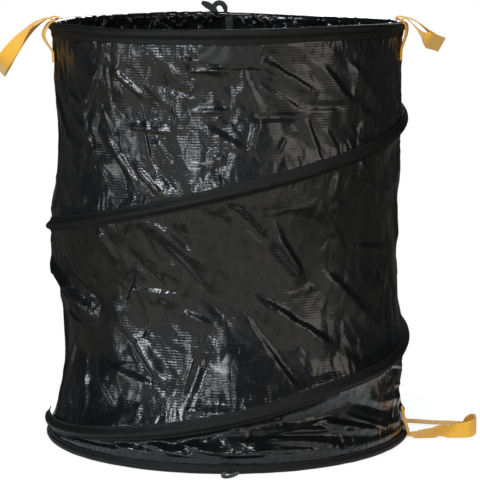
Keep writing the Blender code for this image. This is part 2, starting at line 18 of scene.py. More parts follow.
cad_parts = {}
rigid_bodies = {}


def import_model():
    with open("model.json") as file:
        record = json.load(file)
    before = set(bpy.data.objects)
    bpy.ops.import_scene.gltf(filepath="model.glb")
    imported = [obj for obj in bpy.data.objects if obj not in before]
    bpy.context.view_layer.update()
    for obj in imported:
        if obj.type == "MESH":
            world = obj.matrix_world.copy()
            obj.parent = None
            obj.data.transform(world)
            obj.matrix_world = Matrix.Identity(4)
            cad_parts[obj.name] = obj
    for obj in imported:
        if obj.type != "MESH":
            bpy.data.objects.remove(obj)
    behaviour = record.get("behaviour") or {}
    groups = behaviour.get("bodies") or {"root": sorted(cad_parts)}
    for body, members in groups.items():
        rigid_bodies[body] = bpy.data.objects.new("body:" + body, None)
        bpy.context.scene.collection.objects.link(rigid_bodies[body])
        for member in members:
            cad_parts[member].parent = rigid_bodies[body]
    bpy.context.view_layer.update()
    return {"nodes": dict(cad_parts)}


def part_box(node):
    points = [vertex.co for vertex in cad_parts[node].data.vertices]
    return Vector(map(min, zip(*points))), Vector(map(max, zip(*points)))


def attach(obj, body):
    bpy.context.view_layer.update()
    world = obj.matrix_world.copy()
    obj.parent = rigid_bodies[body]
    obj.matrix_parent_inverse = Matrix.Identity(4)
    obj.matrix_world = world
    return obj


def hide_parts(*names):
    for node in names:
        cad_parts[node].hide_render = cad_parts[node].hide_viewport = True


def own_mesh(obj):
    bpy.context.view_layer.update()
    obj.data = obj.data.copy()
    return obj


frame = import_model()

# %% [markdown]
# ## The camera
# A product photograph is taken from far away with a long lens, so that a round bag keeps its straight
# sides. The place below was found by laying the rim's and the base's ellipses over the photograph: it
# is 3.5 m in front of the bag, a little above the rim, and tilted down by about eight degrees.

# %% Set up the camera
camera_place = (0.0200, -3.5, 0.8256)
camera_tilt = 0.1463
lens_mm, sensor_mm = 166.48, 36.0

lens = bpy.data.cameras.new("bag_camera")
lens.lens = lens_mm
lens.sensor_width = sensor_mm
camera = bpy.data.objects.new("bag_camera", lens)
camera.location = camera_place
camera.rotation_euler = (math.pi / 2.0 - camera_tilt, 0.0, 0.0)
bpy.context.scene.collection.objects.link(camera)
bpy.context.scene.camera = camera
bpy.context.scene.view_settings.view_transform = "Standard"

# %% [markdown]
# ## Writing node trees as Python
# A material is a tree of nodes, which gets long when every sum is a node of its own. A Wire wraps an
# output socket, so that an expression such as `1 - mask * 0.5` adds its Math nodes by itself, and a
# Tree makes any other node. The materials, the studio and the Geometry Nodes trees all use them.

# %% Wires and trees
class Wire:
    """An output socket that can be used in sums."""

    def __init__(self, tree, socket):
        self.tree = tree
        self.socket = socket

    def also(self, output):
        """Another output of the same node."""
        return Wire(self.tree, self.socket.node.outputs[output])

    def maths(self, operation, *others, first=None):
        values = [self, *others] if first is None else [first, self, *others]
        return self.tree.node("ShaderNodeMath", {"operation": operation}, values)

    def __add__(self, other):
        return self.maths("ADD", other)

    def __sub__(self, other):
        return self.maths("SUBTRACT", other)

    def __rsub__(self, other):
        return self.maths("SUBTRACT", first=other)

    def __mul__(self, other):
        return self.maths("MULTIPLY", other)

    def __truediv__(self, other):
        return self.maths("DIVIDE", other)


class Tree:
    """Makes and joins the nodes of one tree."""

    def __init__(self, tree):
        self.tree = tree

    def join(self, socket, value):
        """Link a wire to a socket, or set the socket's own value."""
        if isinstance(value, Wire):
            self.tree.links.new(value.socket, socket)
        else:
            socket.default_value = value

    def node(self, kind, settings=None, inputs=(), output=0):
        """Any node: its settings are set first, then the values or wires of its sockets."""
        made = self.tree.nodes.new(kind)
        for name, value in (settings or {}).items():
            setattr(made, name, value)
        for key, value in inputs.items() if isinstance(inputs, dict) else enumerate(inputs):
            self.join(made.inputs[key], value)
        return Wire(self, made.outputs[output]) if made.outputs else None

    def mix(self, share, first, second):
        """A colour between two colours."""
        return self.node("ShaderNodeMix", {"data_type": "RGBA"}, {0: share, 6: first, 7: second}, output=2)

    def blend(self, share, first, second):
        """A number between two numbers."""
        return self.node("ShaderNodeMix", {}, {0: share, 2: first, 3: second})


class Finish(Tree):
    """A procedural material: one Principled shader and the nodes that feed it."""

    def __init__(self, name, constants):
        self.material = bpy.data.materials.new(name)
        self.material.use_nodes = True
        super().__init__(self.material.node_tree)
        self.shader = self.tree.nodes["Principled BSDF"]
        for socket, value in constants.items():
            self.shader.inputs[socket].default_value = value

    def place(self):
        """The piece's own coordinates, in metres."""
        return self.node("ShaderNodeTexCoord", output="Object")

    def attribute(self, name):
        return self.node("ShaderNodeAttribute", {"attribute_name": name}, output="Fac")

    def noise(self, where, scale, detail=2.0, roughness=0.5):
        """Smooth noise from 0 to 1."""
        return self.node("ShaderNodeTexNoise", {}, {"Vector": where, "Scale": scale, "Detail": detail,
                                                    "Roughness": roughness})

    def bump(self, height, distance, strength=1.0, under=None):
        """A bump of a real height in metres, over another one if there is one."""
        inputs = {"Strength": strength, "Distance": distance, "Height": height}
        if under is not None:
            inputs["Normal"] = under
        return self.node("ShaderNodeBump", {}, inputs)

    def feed(self, **sockets):
        """Join wires to the shader. Underscores stand for the spaces of a socket's name."""
        for name, value in sockets.items():
            self.join(self.shader.inputs[name.replace("_", " ")], value)


def colour(tint, share=1.0):
    """A colour with full alpha, made darker or lighter by a share."""
    return (*(c * share for c in tint), 1.0)


white = (1.0, 1.0, 1.0, 1.0)

# %% [markdown]
# ## The woven sheet's finish
# Leaf bags are made of polyethylene tapes, woven and coated with a clear film. The film is glossy and
# crinkles like foil, and the tapes show through it as faint lines about 4 mm apart, most of them level.
# The big folds are real geometry, made further down. This finish adds what is finer than that: the
# tapes, small flat crinkles and some cloudiness in the gloss.

# %% Woven sheet
tape_pitch = 0.0040
unroll_radius = 0.275
crease_depth, weave_depth = 0.0040, 0.00011


def woven_sheet(name, tint):
    film = Finish(name, {"IOR": 1.42, "Specular IOR Level": 0.5, "Coat Weight": 0.15, "Coat Roughness": 0.1,
                         "Coat IOR": 1.5})
    where = film.place()
    x = film.node("ShaderNodeSeparateXYZ", {}, [where])
    y, z = x.also("Y"), x.also("Z")
    around = x.maths("ARCTAN2", y * -1.0) * unroll_radius

    def creases(lean, stretch, scale, seed):
        """Long flat facets on the unrolled sheet, as distances to their creases."""
        cos, sin = math.cos(math.radians(lean)), math.sin(math.radians(lean))
        along = (around * cos + z * sin) / stretch
        flat = film.node("ShaderNodeCombineXYZ", {}, [along, z * cos - around * sin, seed])
        wander = film.node("ShaderNodeTexNoise", {}, {"Vector": flat, "Scale": scale * 0.8, "Detail": 1.0},
                           output="Color")
        shifted = film.node("ShaderNodeVectorMath", {"operation": "MULTIPLY_ADD"},
                            [wander, (0.5 / scale,) * 3, flat])
        return film.node("ShaderNodeTexVoronoi", {"feature": "DISTANCE_TO_EDGE", "voronoi_dimensions": "2D"},
                         {"Vector": shifted, "Scale": scale})

    level_tapes, upright_tapes = ((way * (math.tau / tape_pitch)).maths("SINE") for way in (z, around))
    cloud = film.noise(where, 16.0, 3.0, 0.6)
    weave = (level_tapes * 0.85 + upright_tapes * 0.15) * (cloud * 0.9 + 0.1)
    long_ones, steep_ones = creases(-57.0, 2.8, 20.0, 0.0), creases(82.0, 2.4, 31.0, 3.0)
    short_ones = creases(-20.0, 1.7, 62.0, 7.0)
    crumpled = film.bump(long_ones + steep_ones * 0.45 + short_ones * 0.14, crease_depth)
    fine = film.noise(where, 420.0)
    dust = film.noise(where, 60.0, 4.0, 0.65)
    film.feed(Normal=film.bump(weave + fine * 0.2, weave_depth, 1.0, crumpled), Roughness=cloud * 0.13 + 0.17,
              Base_Color=film.mix(dust, colour(tint, 0.7), colour(tint, 1.35)))
    return film.material


sheet_black = woven_sheet("woven_sheet_black", (0.0034, 0.0035, 0.0037))

# %% [markdown]
# ## Tape, webbing, elastic and thread
# The tape over the wires is matt and finely ribbed across its width. The webbing is a thick plain
# weave: rows of warp yarns side by side, each dipping under the weft in turn. Its colour is painted
# shade in the dips between the yarns and a painted highlight on their crowns, with some dirt. Its pattern
# follows two attributes that each strap carries, its length along the strap and its place across it, so it
# bends and turns with the strap.

# %% Matt tape for the wires
rib_pitch, row_pitch = 0.0014, 0.0010


def binding_tape(name):
    tape = Finish(name, {"Specular IOR Level": 0.22})
    where = tape.place()
    ribs = (tape.attribute("along") * (math.tau / rib_pitch)).maths("SINE")
    rows = (tape.attribute("across") * (math.tau / row_pitch)).maths("SINE")
    fuzz = tape.noise(where, 900.0, 3.0, 0.6)
    soft = tape.bump(tape.noise(where, 70.0, 3.0, 0.6), 0.0016, 0.7)
    worn = tape.noise(where, 35.0, 4.0, 0.6)
    tape.feed(Normal=tape.bump(ribs * rows * 0.5 + fuzz * 0.6, 0.00016, 1.0, soft),
              Roughness=fuzz * 0.2 + 0.42,
              Base_Color=tape.mix(worn, colour((0.0022, 0.0022, 0.0021)), colour((0.0062, 0.0062, 0.0058))))
    return tape.material


tape_black = binding_tape("binding_tape_black")


# %% Woven webbing
# The finish's two colours are a shaded and a lit tone of one webbing: painted shade between the yarns,
# painted highlight on them.
def webbing_finish(name, shaded_tone, light, yarn=0.0017):
    strap = Finish(name, {"Specular IOR Level": 0.3, "Sheen Weight": 0.25, "Sheen Roughness": 0.5})
    along, across = strap.attribute("along"), strap.attribute("across")
    where = strap.place()
    hump = (across * (math.pi / yarn)).maths("SINE").maths("ABSOLUTE")
    row = (along * (math.pi / (yarn * 1.25)) + (across / yarn).maths("FLOOR") * (math.pi / 2.0)).maths("SINE")
    yarns = hump * (row.maths("ABSOLUTE") * 0.7 + 0.3)
    fuzz, soiled = strap.noise(where, 1500.0), strap.noise(where, 45.0, 4.0, 0.6)
    strap.feed(Normal=strap.bump(yarns + fuzz * 0.25, 0.00035, 0.9), Roughness=0.78 - yarns * 0.16,
               # Base Color is painted shade in the dips between the yarns and a painted highlight on their
               # crowns, mixed with soiled noise for random dirt.
               Base_Color=strap.mix(yarns * 0.65 + soiled * 0.35, colour(shaded_tone), colour(light)))
    return strap.material


# The shaded and the lit tone of each webbing, for its painted shade and painted highlight.
webbing_orange = webbing_finish("webbing_orange", (0.60, 0.275, 0.013), (0.93, 0.52, 0.055))
elastic_black = webbing_finish("elastic_black", (0.008, 0.008, 0.0075), (0.032, 0.033, 0.029), 0.0013)


# %% Thread, patch, steel and plastic
def plain_finish(name, base, rough, metal, grain, depth, stretch=(1.0, 1.0, 1.0)):
    """A finish whose colour, roughness and surface vary a little, by noise of one grain."""
    made = Finish(name, {"Specular IOR Level": 0.4})
    where = made.place()
    stretched = made.node("ShaderNodeVectorMath", {"operation": "MULTIPLY"}, [where, stretch])
    speck = made.noise(stretched, grain, 3.0, 0.6)
    cloud = made.noise(where, grain / 12.0)
    made.feed(Base_Color=made.mix(cloud, colour(base, 0.75), colour(base, 1.2)),
              Roughness=speck * 0.2 + (rough - 0.1), Normal=made.bump(speck, depth))
    if metal:
        made.feed(Metallic=cloud * 0.04 + (metal - 0.04))
    return made.material


thread_black = plain_finish("thread_black", (0.018, 0.018, 0.018), 0.6, 0.0, 2500.0, 0.0001)
thread_orange = plain_finish("thread_orange", (0.80, 0.40, 0.07), 0.6, 0.0, 2500.0, 0.0001)
patch_black = plain_finish("patch_black", (0.0052, 0.0050, 0.0052), 0.45, 0.0, 1400.0, 0.00012,
                           (1.0, 1.0, 3.0))
wire_steel = plain_finish("wire_steel", (0.55, 0.55, 0.56), 0.35, 1.0, 900.0, 0.00003)
crimp_zinc = plain_finish("crimp_zinc", (0.62, 0.62, 0.63), 0.3, 1.0, 500.0, 0.00004)
cap_plastic = plain_finish("cap_plastic", (0.03, 0.03, 0.032), 0.45, 0.0, 700.0, 0.00005)
print("finishes:", [m.name for m in bpy.data.materials if m.node_tree and len(m.node_tree.nodes) > 6])

# %% [markdown]
# ## The bag's measures
# These are the measures of the solids, written again here, because this file reads nothing but the
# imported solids. The spiral climbs steadily, with an eased start at the base and an eased end at the rim.
# The standing bag differs a little from that plan: the spring settles between its stays, and the rim is
# warped. Sweeps are degrees from the left, going round the front.

# %% Measures
bag_height = 0.658
base_radius, rim_radius = 0.2845, 0.2735
sheet_bottom, sheet_top = 0.0125, bag_height - 0.0145
film_thickness = 0.00035
spiral_low, spiral_high = 0.0270, 0.6225
spiral_end_deg, spiral_ease_deg = 693.0, 80.0
tape_above, tape_below = 0.0125, 0.0098
tape_thickness = 0.0008
wire_radius = 0.0019
hem_offset = 0.0005
rim_tube, base_tube = 0.0068, 0.0058
mm_per_metre = 1000.0

# Sweep and millimetres up.
spring_settles = ((0, 0), (30, 0), (50, 3), (95, 3.5), (107, 7), (120, 11), (136, 7), (152, 0), (300, 0),
                  (345, -3), (380, -8), (397, -13), (422, -12), (436, -10), (452, -6.5), (477, -3.5),
                  (500, -1.5), (520, -2), (560, 0), (720, 0))
# Degrees from the front and millimetres up.
rim_warps = ((-180, 1.5), (-165, 3.4), (-150, 1.2), (-120, 0), (-90, 0), (-55, 1.8), (-36, -1.2), (-15, 0),
             (10, 0.8), (33, 3.4), (52, 3.2), (78, 0), (100, -0.4), (125, -3.2), (145, -3.8), (160, -2.4),
             (172, 0.4), (180, 1.5))


def ring_radius(height):
    return base_radius + (rim_radius - base_radius) * np.asarray(height) / bag_height


def along_knots(place, knots):
    """Millimetres between the knots, rounded off, in metres."""
    places, rises = zip(*knots)
    near = [np.interp(np.asarray(place, float) + step, places, rises) for step in (-9.0, -4.5, 0.0, 4.5, 9.0)]
    return sum(near) / len(near) / mm_per_metre


def rim_lift(degrees):
    """How far the rim stands above its plan. Degrees are counted from the front."""
    return along_knots((np.asarray(degrees, float) + 180.0) % 360.0 - 180.0, rim_warps)


def spiral_height(sweep):
    """Height of the spiral's middle at a sweep."""
    sweep = np.clip(np.asarray(sweep, float), 0.0, spiral_end_deg)
    slope = (spiral_high - spiral_low) / (spiral_end_deg - spiral_ease_deg)
    left = spiral_end_deg - sweep
    low = spiral_low + slope * sweep ** 2 / (2.0 * spiral_ease_deg)
    high = spiral_high - slope * left ** 2 / (2.0 * spiral_ease_deg)
    middle = spiral_low + slope * (sweep - spiral_ease_deg / 2.0)
    planned = np.where(sweep < spiral_ease_deg, low, np.where(left < spiral_ease_deg, high, middle))
    return planned + along_knots(sweep, spring_settles)


def holding_line(sweep, run_in=36.0):
    """Height of the row of the sheet behind the tape. It runs into both hems."""
    sweep = np.asarray(sweep, float)
    start = np.clip(sweep / run_in, 0.0, 1.0)
    end = np.clip((720.0 - sweep) / run_in, 0.0, 1.0)
    height = sheet_bottom + (spiral_height(sweep) - sheet_bottom) * start
    return sheet_top + (height - sheet_top) * end


def round_bag(sweep, radius, height):
    """A point on the bag."""
    angle = math.radians(180.0 + sweep)
    return Vector((radius * math.cos(angle), radius * math.sin(angle), height))


def ease(share):
    """From 0 to 1 with a soft start and a soft end."""
    return share * share * (3.0 - 2.0 * share)


def arc(radius, start, end, count, middle=0.0):
    """Points round (middle, 0), from one angle in degrees to another."""
    return [(middle + radius * math.cos(math.radians(a)), radius * math.sin(math.radians(a)))
            for a in np.linspace(start, end, count)]


# %% Meshes
def mesh_object(name, points, faces, material):
    """A smooth mesh object at the origin from points and faces."""
    mesh = bpy.data.meshes.new(name)
    mesh.from_pydata([tuple(p) for p in points], [], [tuple(f) for f in faces])
    mesh.materials.append(material)
    mesh.shade_smooth()
    mesh.update()
    made = bpy.data.objects.new(name, mesh)
    bpy.context.scene.collection.objects.link(made)
    return made


def grid_faces(lines, size, ring=True, closed=False):
    """Faces between lines of points. ring joins each line's last point to its first, and closed joins
    the last line to the first."""
    faces = []
    for line in range(lines if closed else lines - 1):
        here, there = line * size, (line + 1) % lines * size
        for i in range(size if ring else size - 1):
            j = (i + 1) % size
            faces.append((here + i, here + j, there + j, there + i))
    return faces


def change_mesh(thing, change):
    """Run a change on the mesh while it is open for editing."""
    builder = bmesh.new()
    builder.from_mesh(thing.data)
    change(builder)
    builder.to_mesh(thing.data)
    builder.free()


def around_axis(radius, angle, height):
    """Rows of points from arrays of radius, angle and height."""
    parts = (radius * np.cos(angle), radius * np.sin(angle), height)
    return np.stack([part.ravel() for part in parts], axis=1)


def face_outward(builder):
    bmesh.ops.recalc_face_normals(builder, faces=builder.faces)


def merge_close(builder, distance=0.00003):
    """Merge points that lie on each other, and drop faces with no area."""
    bmesh.ops.remove_doubles(builder, verts=builder.verts, dist=distance)
    bmesh.ops.dissolve_degenerate(builder, edges=builder.edges, dist=distance)


def settle(thing):
    """Apply the modifiers by making a plain mesh of what they give."""
    graph = bpy.context.evaluated_depsgraph_get()
    graph.update()
    mesh = bpy.data.meshes.new_from_object(thing.evaluated_get(graph), depsgraph=graph)
    thing.modifiers.clear()
    old = thing.data
    thing.data = mesh
    mesh.name = thing.name
    if old.users == 0:
        bpy.data.meshes.remove(old)


def thicken(thing):
    """Make the sheet a thin closed solid. Its area before that is returned."""
    area = sum(p.area for p in thing.data.polygons)
    thing.modifiers.new("thickness", "SOLIDIFY").thickness = film_thickness
    settle(thing)
    return area


def squash(piece):
    """Give the piece a mesh of its own."""
    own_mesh(piece)


def dress(piece, body, node=None):
    """Attach a piece to the body that carries it, hide the solid that it stands for and print its triangles.
    """
    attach(piece, body)
    if node:
        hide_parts(node)
    print(piece.name, "triangles", sum(len(p.vertices) - 2 for p in piece.data.polygons))


# %% [markdown]
# ## The wall: one long strip, crumpled
# The real wall is a sheet that the spiral's tape divides into one long strip, which starts as a point
# at the base, climbs for three turns and ends as a point at the rim. Sewn to the tape and the hems, it
# can't move there. Between them it is slack, so it sags inward, and it keeps the creases of every time
# the bag was pressed flat. A cloth simulation gives soft waves, but this film breaks into flat facets
# with sharp edges. So the folds are added one by one, each as a tent: a crest, a slope down each side
# and ends that fade out. The large ones stand where the photograph shows them, and smaller ones fill
# the rest.

# %% A field of folds
girth = math.tau * unroll_radius
field_middle, field_top, field_past = 0.33, 0.78, 0.12
front_reach, turn_fade, end_share = 0.36, 0.03, 0.3
field_spare, scatter = 0.35, 0.42
mm = 0.001
in_or_out, mostly_out = (-mm, mm), (-mm, mm, mm)


class Folds:
    """Heights over the unrolled wall. The grid has one sweep per column and a height per point."""

    def __init__(self, sweep, height):
        self.s = np.radians(sweep - 90.0) * unroll_radius
        self.z = height
        self.out = np.zeros_like(height)

    def windows(self, left, right):
        """Column ranges between two places along the unrolled wall, once for each turn."""
        for turn in range(-1, 4):
            first, last = np.searchsorted(self.s, (left + turn * girth, right + turn * girth))
            if last > first:
                yield first, last, turn * girth

    def fold(self, start, end, rise, left, right, rounded=False):
        """A crest between two places in (degrees from the front, height). left and right are the
        widths of its slopes. A rounded one has a soft crest and soft feet."""
        s0, s1 = math.radians(start[0]) * unroll_radius, math.radians(end[0]) * unroll_radius
        length = math.hypot(s1 - s0, end[1] - start[1])
        along_s, along_z = (s1 - s0) / length, (end[1] - start[1]) / length
        middle_s, middle_z = (s0 + s1) / 2.0, (start[1] + end[1]) / 2.0
        reach = length / 2.0 + max(left, right)
        for first, last, shift in self.windows(middle_s - reach, middle_s + reach):
            ds = self.s[first:last, None] - shift - middle_s
            dz = self.z[first:last] - middle_z
            t = (ds * along_s + dz * along_z) / length + 0.5
            side = dz * along_s - ds * along_z
            slope = np.clip(np.where(side > 0.0, 1.0 - side / left, 1.0 + side / right), 0.0, 1.0)
            ends = np.clip(np.minimum(t, 1.0 - t) / end_share, 0.0, 1.0)
            self.out[first:last] += rise * (ease(slope) if rounded else slope) * ease(ends)

    def fold_about(self, degrees, height, lean, size, rise, left, right):
        """A fold about its middle, of one size and one lean."""
        step = math.degrees(size / 2.0 * math.cos(lean) / unroll_radius)
        up_step = size / 2.0 * math.sin(lean)
        self.fold((degrees - step, height - up_step), (degrees + step, height + up_step), rise, left, right)

    def facets(self, spacing, stretch, lean, rise, calm, seed):
        """Flat facets between scattered points, longer than wide by stretch, along a lean in degrees.
        calm lowers them at the front, where the folds are listed one by one."""
        dice = np.random.default_rng(seed)
        cos, sin = math.cos(math.radians(lean)), math.sin(math.radians(lean))
        reach, long_step = girth / 2.0 + field_spare, spacing * stretch
        us, vs = np.arange(-reach, reach, long_step), np.arange(-reach, reach, spacing)
        u, v = np.meshgrid(us, vs)
        stagger = (np.arange(len(vs)) % 2)[:, None] * long_step / 2.0
        u = u + dice.uniform(-scatter, scatter, u.shape) * spacing * stretch + stagger
        v = v + dice.uniform(-scatter, scatter, v.shape) * spacing
        s, z = (u * cos - v * sin).ravel(), (u * sin + v * cos).ravel() + field_middle
        keep = (np.abs(s) < girth / 2.0 + field_past) & (z > -field_past) & (z < field_top)
        flat = [Vector((a, b)) for a, b in zip(s[keep], z[keep])]
        corners, _, triangles, *_ = delaunay_2d_cdt(flat, [], [], 0, 1e-7)
        lift = dice.uniform(-rise, rise, len(corners))
        for triangle in triangles:
            (s0, z0), (s1, z1), (s2, z2) = (corners[i] for i in triangle)
            h0, h1, h2 = (lift[i] for i in triangle)
            area = (s1 - s0) * (z2 - z0) - (s2 - s0) * (z1 - z0)
            for first, last, shift in self.windows(min(s0, s1, s2), max(s0, s1, s2)):
                ds, dz = self.s[first:last, None] - shift - s0, self.z[first:last] - z0
                w1 = (ds * (z2 - z0) - (s2 - s0) * dz) / area
                w2 = ((s1 - s0) * dz - ds * (z1 - z0)) / area
                inside = (w1 >= 0.0) & (w2 >= 0.0) & (w1 + w2 < 1.0)
                from_front = np.abs(self.s[first:last, None] - shift)
                fade = np.clip((girth / 2.0 - from_front) / turn_fade, 0.0, 1.0)
                share = fade * (1.0 - calm * (from_front < front_reach))
                self.out[first:last] += np.where(inside, h0 + (h1 - h0) * w1 + (h2 - h0) * w2, 0.0) * share


# Big folds of the front, as the photograph shows them: from degrees and height, to degrees and height,
# rise outward, width of the slope on the left of the way and on its right. Lengths in millimetres.
front_folds = (
    (-43, 604, -54, 520, 4.0, 7, 30), (-56, 520, -40, 426, 3.2, 6, 10), (-46, 516, -27, 420, 4.0, 6, 12),
    (-33, 468, -18, 408, 3.0, 5, 10), (-39, 600, -25, 550, 3.0, 6, 9), (-30, 560, -24, 452, -2.6, 6, 16),
    (-34, 512, -16, 506, 2.6, 12, 4), (-21, 604, -16, 506, -2.8, 8, 16), (-16, 618, 3, 596, 5.0, 4, 18),
    (-10, 538, 2, 540, 1.8, 6, 8), (-23, 499, -16, 452, 2.6, 7, 12), (-7, 518, 6, 480, 2.4, 10, 16),
    (-14, 551, -9, 580, 1.2, 4, 4), (-65, 560, -53, 538, 2.0, 6, 12), (10, 616, 30, 558, 4.0, 8, 16),
    (28, 614, 44, 536, 3.6, 10, 18), (40, 612, 60, 526, 4.5, 9, 22), (9, 581, 26, 530, 3.2, 8, 20),
    (8, 530, 27, 530, -2.2, 8, 10), (24, 544, 42, 541, -2.2, 10, 8), (25, 532, 30, 474, 2.6, 6, 14),
    (10, 532, 7, 470, 3.4, 6, 10), (19, 502, 16, 474, 1.8, 5, 7), (32, 512, 37, 476, 2.0, 6, 8),
    (3, 606, 11, 536, 3.0, 12, 20), (12, 400, 14, 338, -2.4, 7, 10), (13, 364, 28, 283, 4.4, 10, 18),
    (28, 412, 45, 311, 4.0, 10, 18), (31, 306, 64, 172, 5.6, 14, 22), (8, 266, 39, 174, 5.8, 10, 36),
    (4, 264, 27, 108, -5.0, 22, 12), (45, 326, 70, 311, 3.0, 8, 12), (70, 318, 62, 178, 4.0, 12, 18),
    (-45, 243, -18, 115, 8.5, 23, 7), (-38, 268, -14, 262, 3.4, 6, 30), (-17, 240, -4, 218, 3.0, 6, 18),
    (-5, 222, -14, 90, -5.0, 18, 10), (-31, 310, -38, 240, -3.0, 8, 6), (-22, 350, 5, 200, -4.0, 12, 20),
    (-35, 332, -20, 270, -2.6, 10, 12), (-13, 285, 3, 230, 2.2, 10, 8), (-84, 290, -47, 204, 6.0, 12, 16),
    (-72, 300, -42, 215, -4.5, 10, 14), (-50, 150, -20, 122, 4.0, 7, 30), (-52, 140, -38, 82, 4.4, 22, 8),
    (-14, 96, 6, 90, 3.0, 4, 10), (-40, 58, -6, 18, 4.4, 9, 8), (-14, 36, 16, 24, 5.5, 11, 6),
    (0, 42, 34, 22, 5.2, 10, 7), (30, 70, 62, 30, 4.0, 8, 14), (-30, 28, -2, 22, 4.0, 8, 5),
    (14, 60, 40, 52, 3.6, 7, 7), (44, 90, 70, 50, -4.0, 10, 14), (84, 12, 104, 80, 5.0, 30, 30),
    (20, 60, 50, 30, -3.4, 10, 10), (-90, 312, -50, 198, 6.5, 10, 16), (-82, 285, -60, 205, -4.5, 8, 8),
    (-78, 240, -66, 230, 4.0, 4, 4), (-74, 212, -60, 192, 4.5, 5, 5), (-68, 185, -75, 60, 5.5, 12, 10),
    (-60, 160, -50, 60, -4.5, 10, 12), (-86, 180, -80, 40, 4.5, 8, 12), (-97, 285, -84, 120, 5.5, 12, 12),
    (-72, 610, -64, 520, 4.0, 10, 10), (-80, 560, -58, 470, 4.5, 8, 14), (-66, 480, -80, 400, 4.0, 10, 8),
    (-88, 520, -76, 440, -4.0, 9, 12), (72, 600, 80, 520, 4.0, 14, 12), (62, 560, 84, 480, 4.0, 14, 10),
    (74, 400, 86, 300, 4.5, 14, 14), (66, 360, 78, 220, -4.0, 12, 16), (11, 402, 28, 266, 6.0, 12, 26),
    (-30, 396, -5, 298, 5.0, 12, 22), (-14, 398, -8, 308, 3.4, 7, 14), (39, 472, 35, 396, 4.2, 8, 12),
    (43, 480, 58, 392, 4.8, 9, 14), (56, 496, 57, 420, 4.0, 7, 10), (-2, 420, 16, 330, -3.6, 10, 16),
    (-46, 380, -38, 300, 4.4, 10, 16),
)


# %% Facets, loose folds and puckers along the seams
loose_count, low_count = 420, 64


def crumple(folds):
    """Fill the wall. Most folds lean as in the photograph, down to the right."""
    folds.facets(0.050, 2.2, -57.0, 0.0055, 0.35, 21)
    folds.facets(0.028, 2.4, 78.0, 0.0022, 0.35, 22)
    folds.facets(0.017, 2.0, -40.0, 0.0010, 0.2, 23)
    for start, start_height, end, end_height, *sizes in front_folds:
        low, high, rise, left, right = (size / mm_per_metre for size in (start_height, end_height, *sizes))
        folds.fold((start, low), (end, high), rise, left, right, True)
    dice = np.random.default_rng(11)
    leans, lean_shares = [-52.0, -64.0, 78.0, 88.0, 40.0, 4.0], [0.3, 0.2, 0.15, 0.15, 0.1, 0.1]
    for _ in range(loose_count):
        degrees, height = dice.uniform(-172.0, 172.0), dice.uniform(0.01, 0.65)
        lean = math.radians(dice.choice(leans, p=lean_shares) + dice.normal(0.0, 12.0))
        size = dice.uniform(0.02, 0.10)
        slopes = dice.uniform(0.003, 0.014, 2)
        rise = dice.uniform(0.5, 1.7) * dice.choice(in_or_out)
        folds.fold_about(degrees, height, lean, size, rise, *slopes)


def crumple_low(folds):
    """The strip between the base and the spiral's first turn is squeezed, and has long level folds."""
    dice = np.random.default_rng(17)
    for _ in range(low_count):
        degrees = dice.uniform(-100.0, 100.0)
        top = float(spiral_height(degrees + 90.0)) - tape_below
        height = dice.uniform(0.016, max(top, 0.022))
        lean, size = math.radians(dice.normal(-6.0, 9.0)), dice.uniform(0.05, 0.15)
        rise = dice.uniform(1.5, 4.5) * dice.choice(mostly_out)
        folds.fold_about(degrees, height, lean, size, rise, *dice.uniform(0.004, 0.013, 2))


def pucker(folds):
    """Short folds that run away from each seam, as the thread draws the sheet up."""
    dice = np.random.default_rng(5)
    tuck, rim_row, base_row = 0.004, 0.640, 0.014
    for start, end, height_of, way in (
            (20.0, spiral_end_deg, lambda a: float(spiral_height(a)) + tape_above - tuck, 1),
            (20.0, spiral_end_deg, lambda a: float(spiral_height(a)) - tape_below + tuck, -1),
            (0.0, 360.0, lambda a: rim_row, -1), (0.0, 360.0, lambda a: base_row, 1)):
        sweep = start
        while sweep < end:
            degrees, height = sweep - 90.0, height_of(sweep)
            lean = math.degrees(dice.normal(0.0, 0.25) * 0.02 / unroll_radius)
            reach = dice.uniform(0.010, 0.042)
            rise = dice.uniform(0.3, 1.1) * dice.choice(mostly_out)
            folds.fold((degrees, height), (degrees + lean, height + way * reach), rise,
                       dice.uniform(0.003, 0.006), dice.uniform(0.003, 0.006), True)
            sweep += math.degrees(dice.uniform(0.006, 0.015) / unroll_radius)


print("folds placed by hand:", len(front_folds))


# %% Lay out one stretch of the strip
strip_radius, column_step = 0.28, 0.0025
seam_share, least_gap = 0.3, 1e-5
hem_band, seam_fade, edge_fade = 0.010, 0.016, 0.004
slack_share, rim_reach = 0.15, 0.12
# How far the two sides reach, in degrees, and how much less the sheet sags there.
left_spread, right_spread = 45.0, 50.0
left_less, right_less = 0.28, 0.42
# The lowest strip sags more, and the leans move the deepest place up or down between the seams.
low_zone, low_zone_fade, low_more = 0.075, 0.02, 1.1
even_lean, left_lean, right_lean, low_lean = 0.92, 0.20, 0.22, 1.5
# The folds under the patch: how far it reaches, what is left of them and their greatest height.
patch_spread, patch_low, patch_share, patch_most = 11.0, 0.600, 0.3, 0.0006


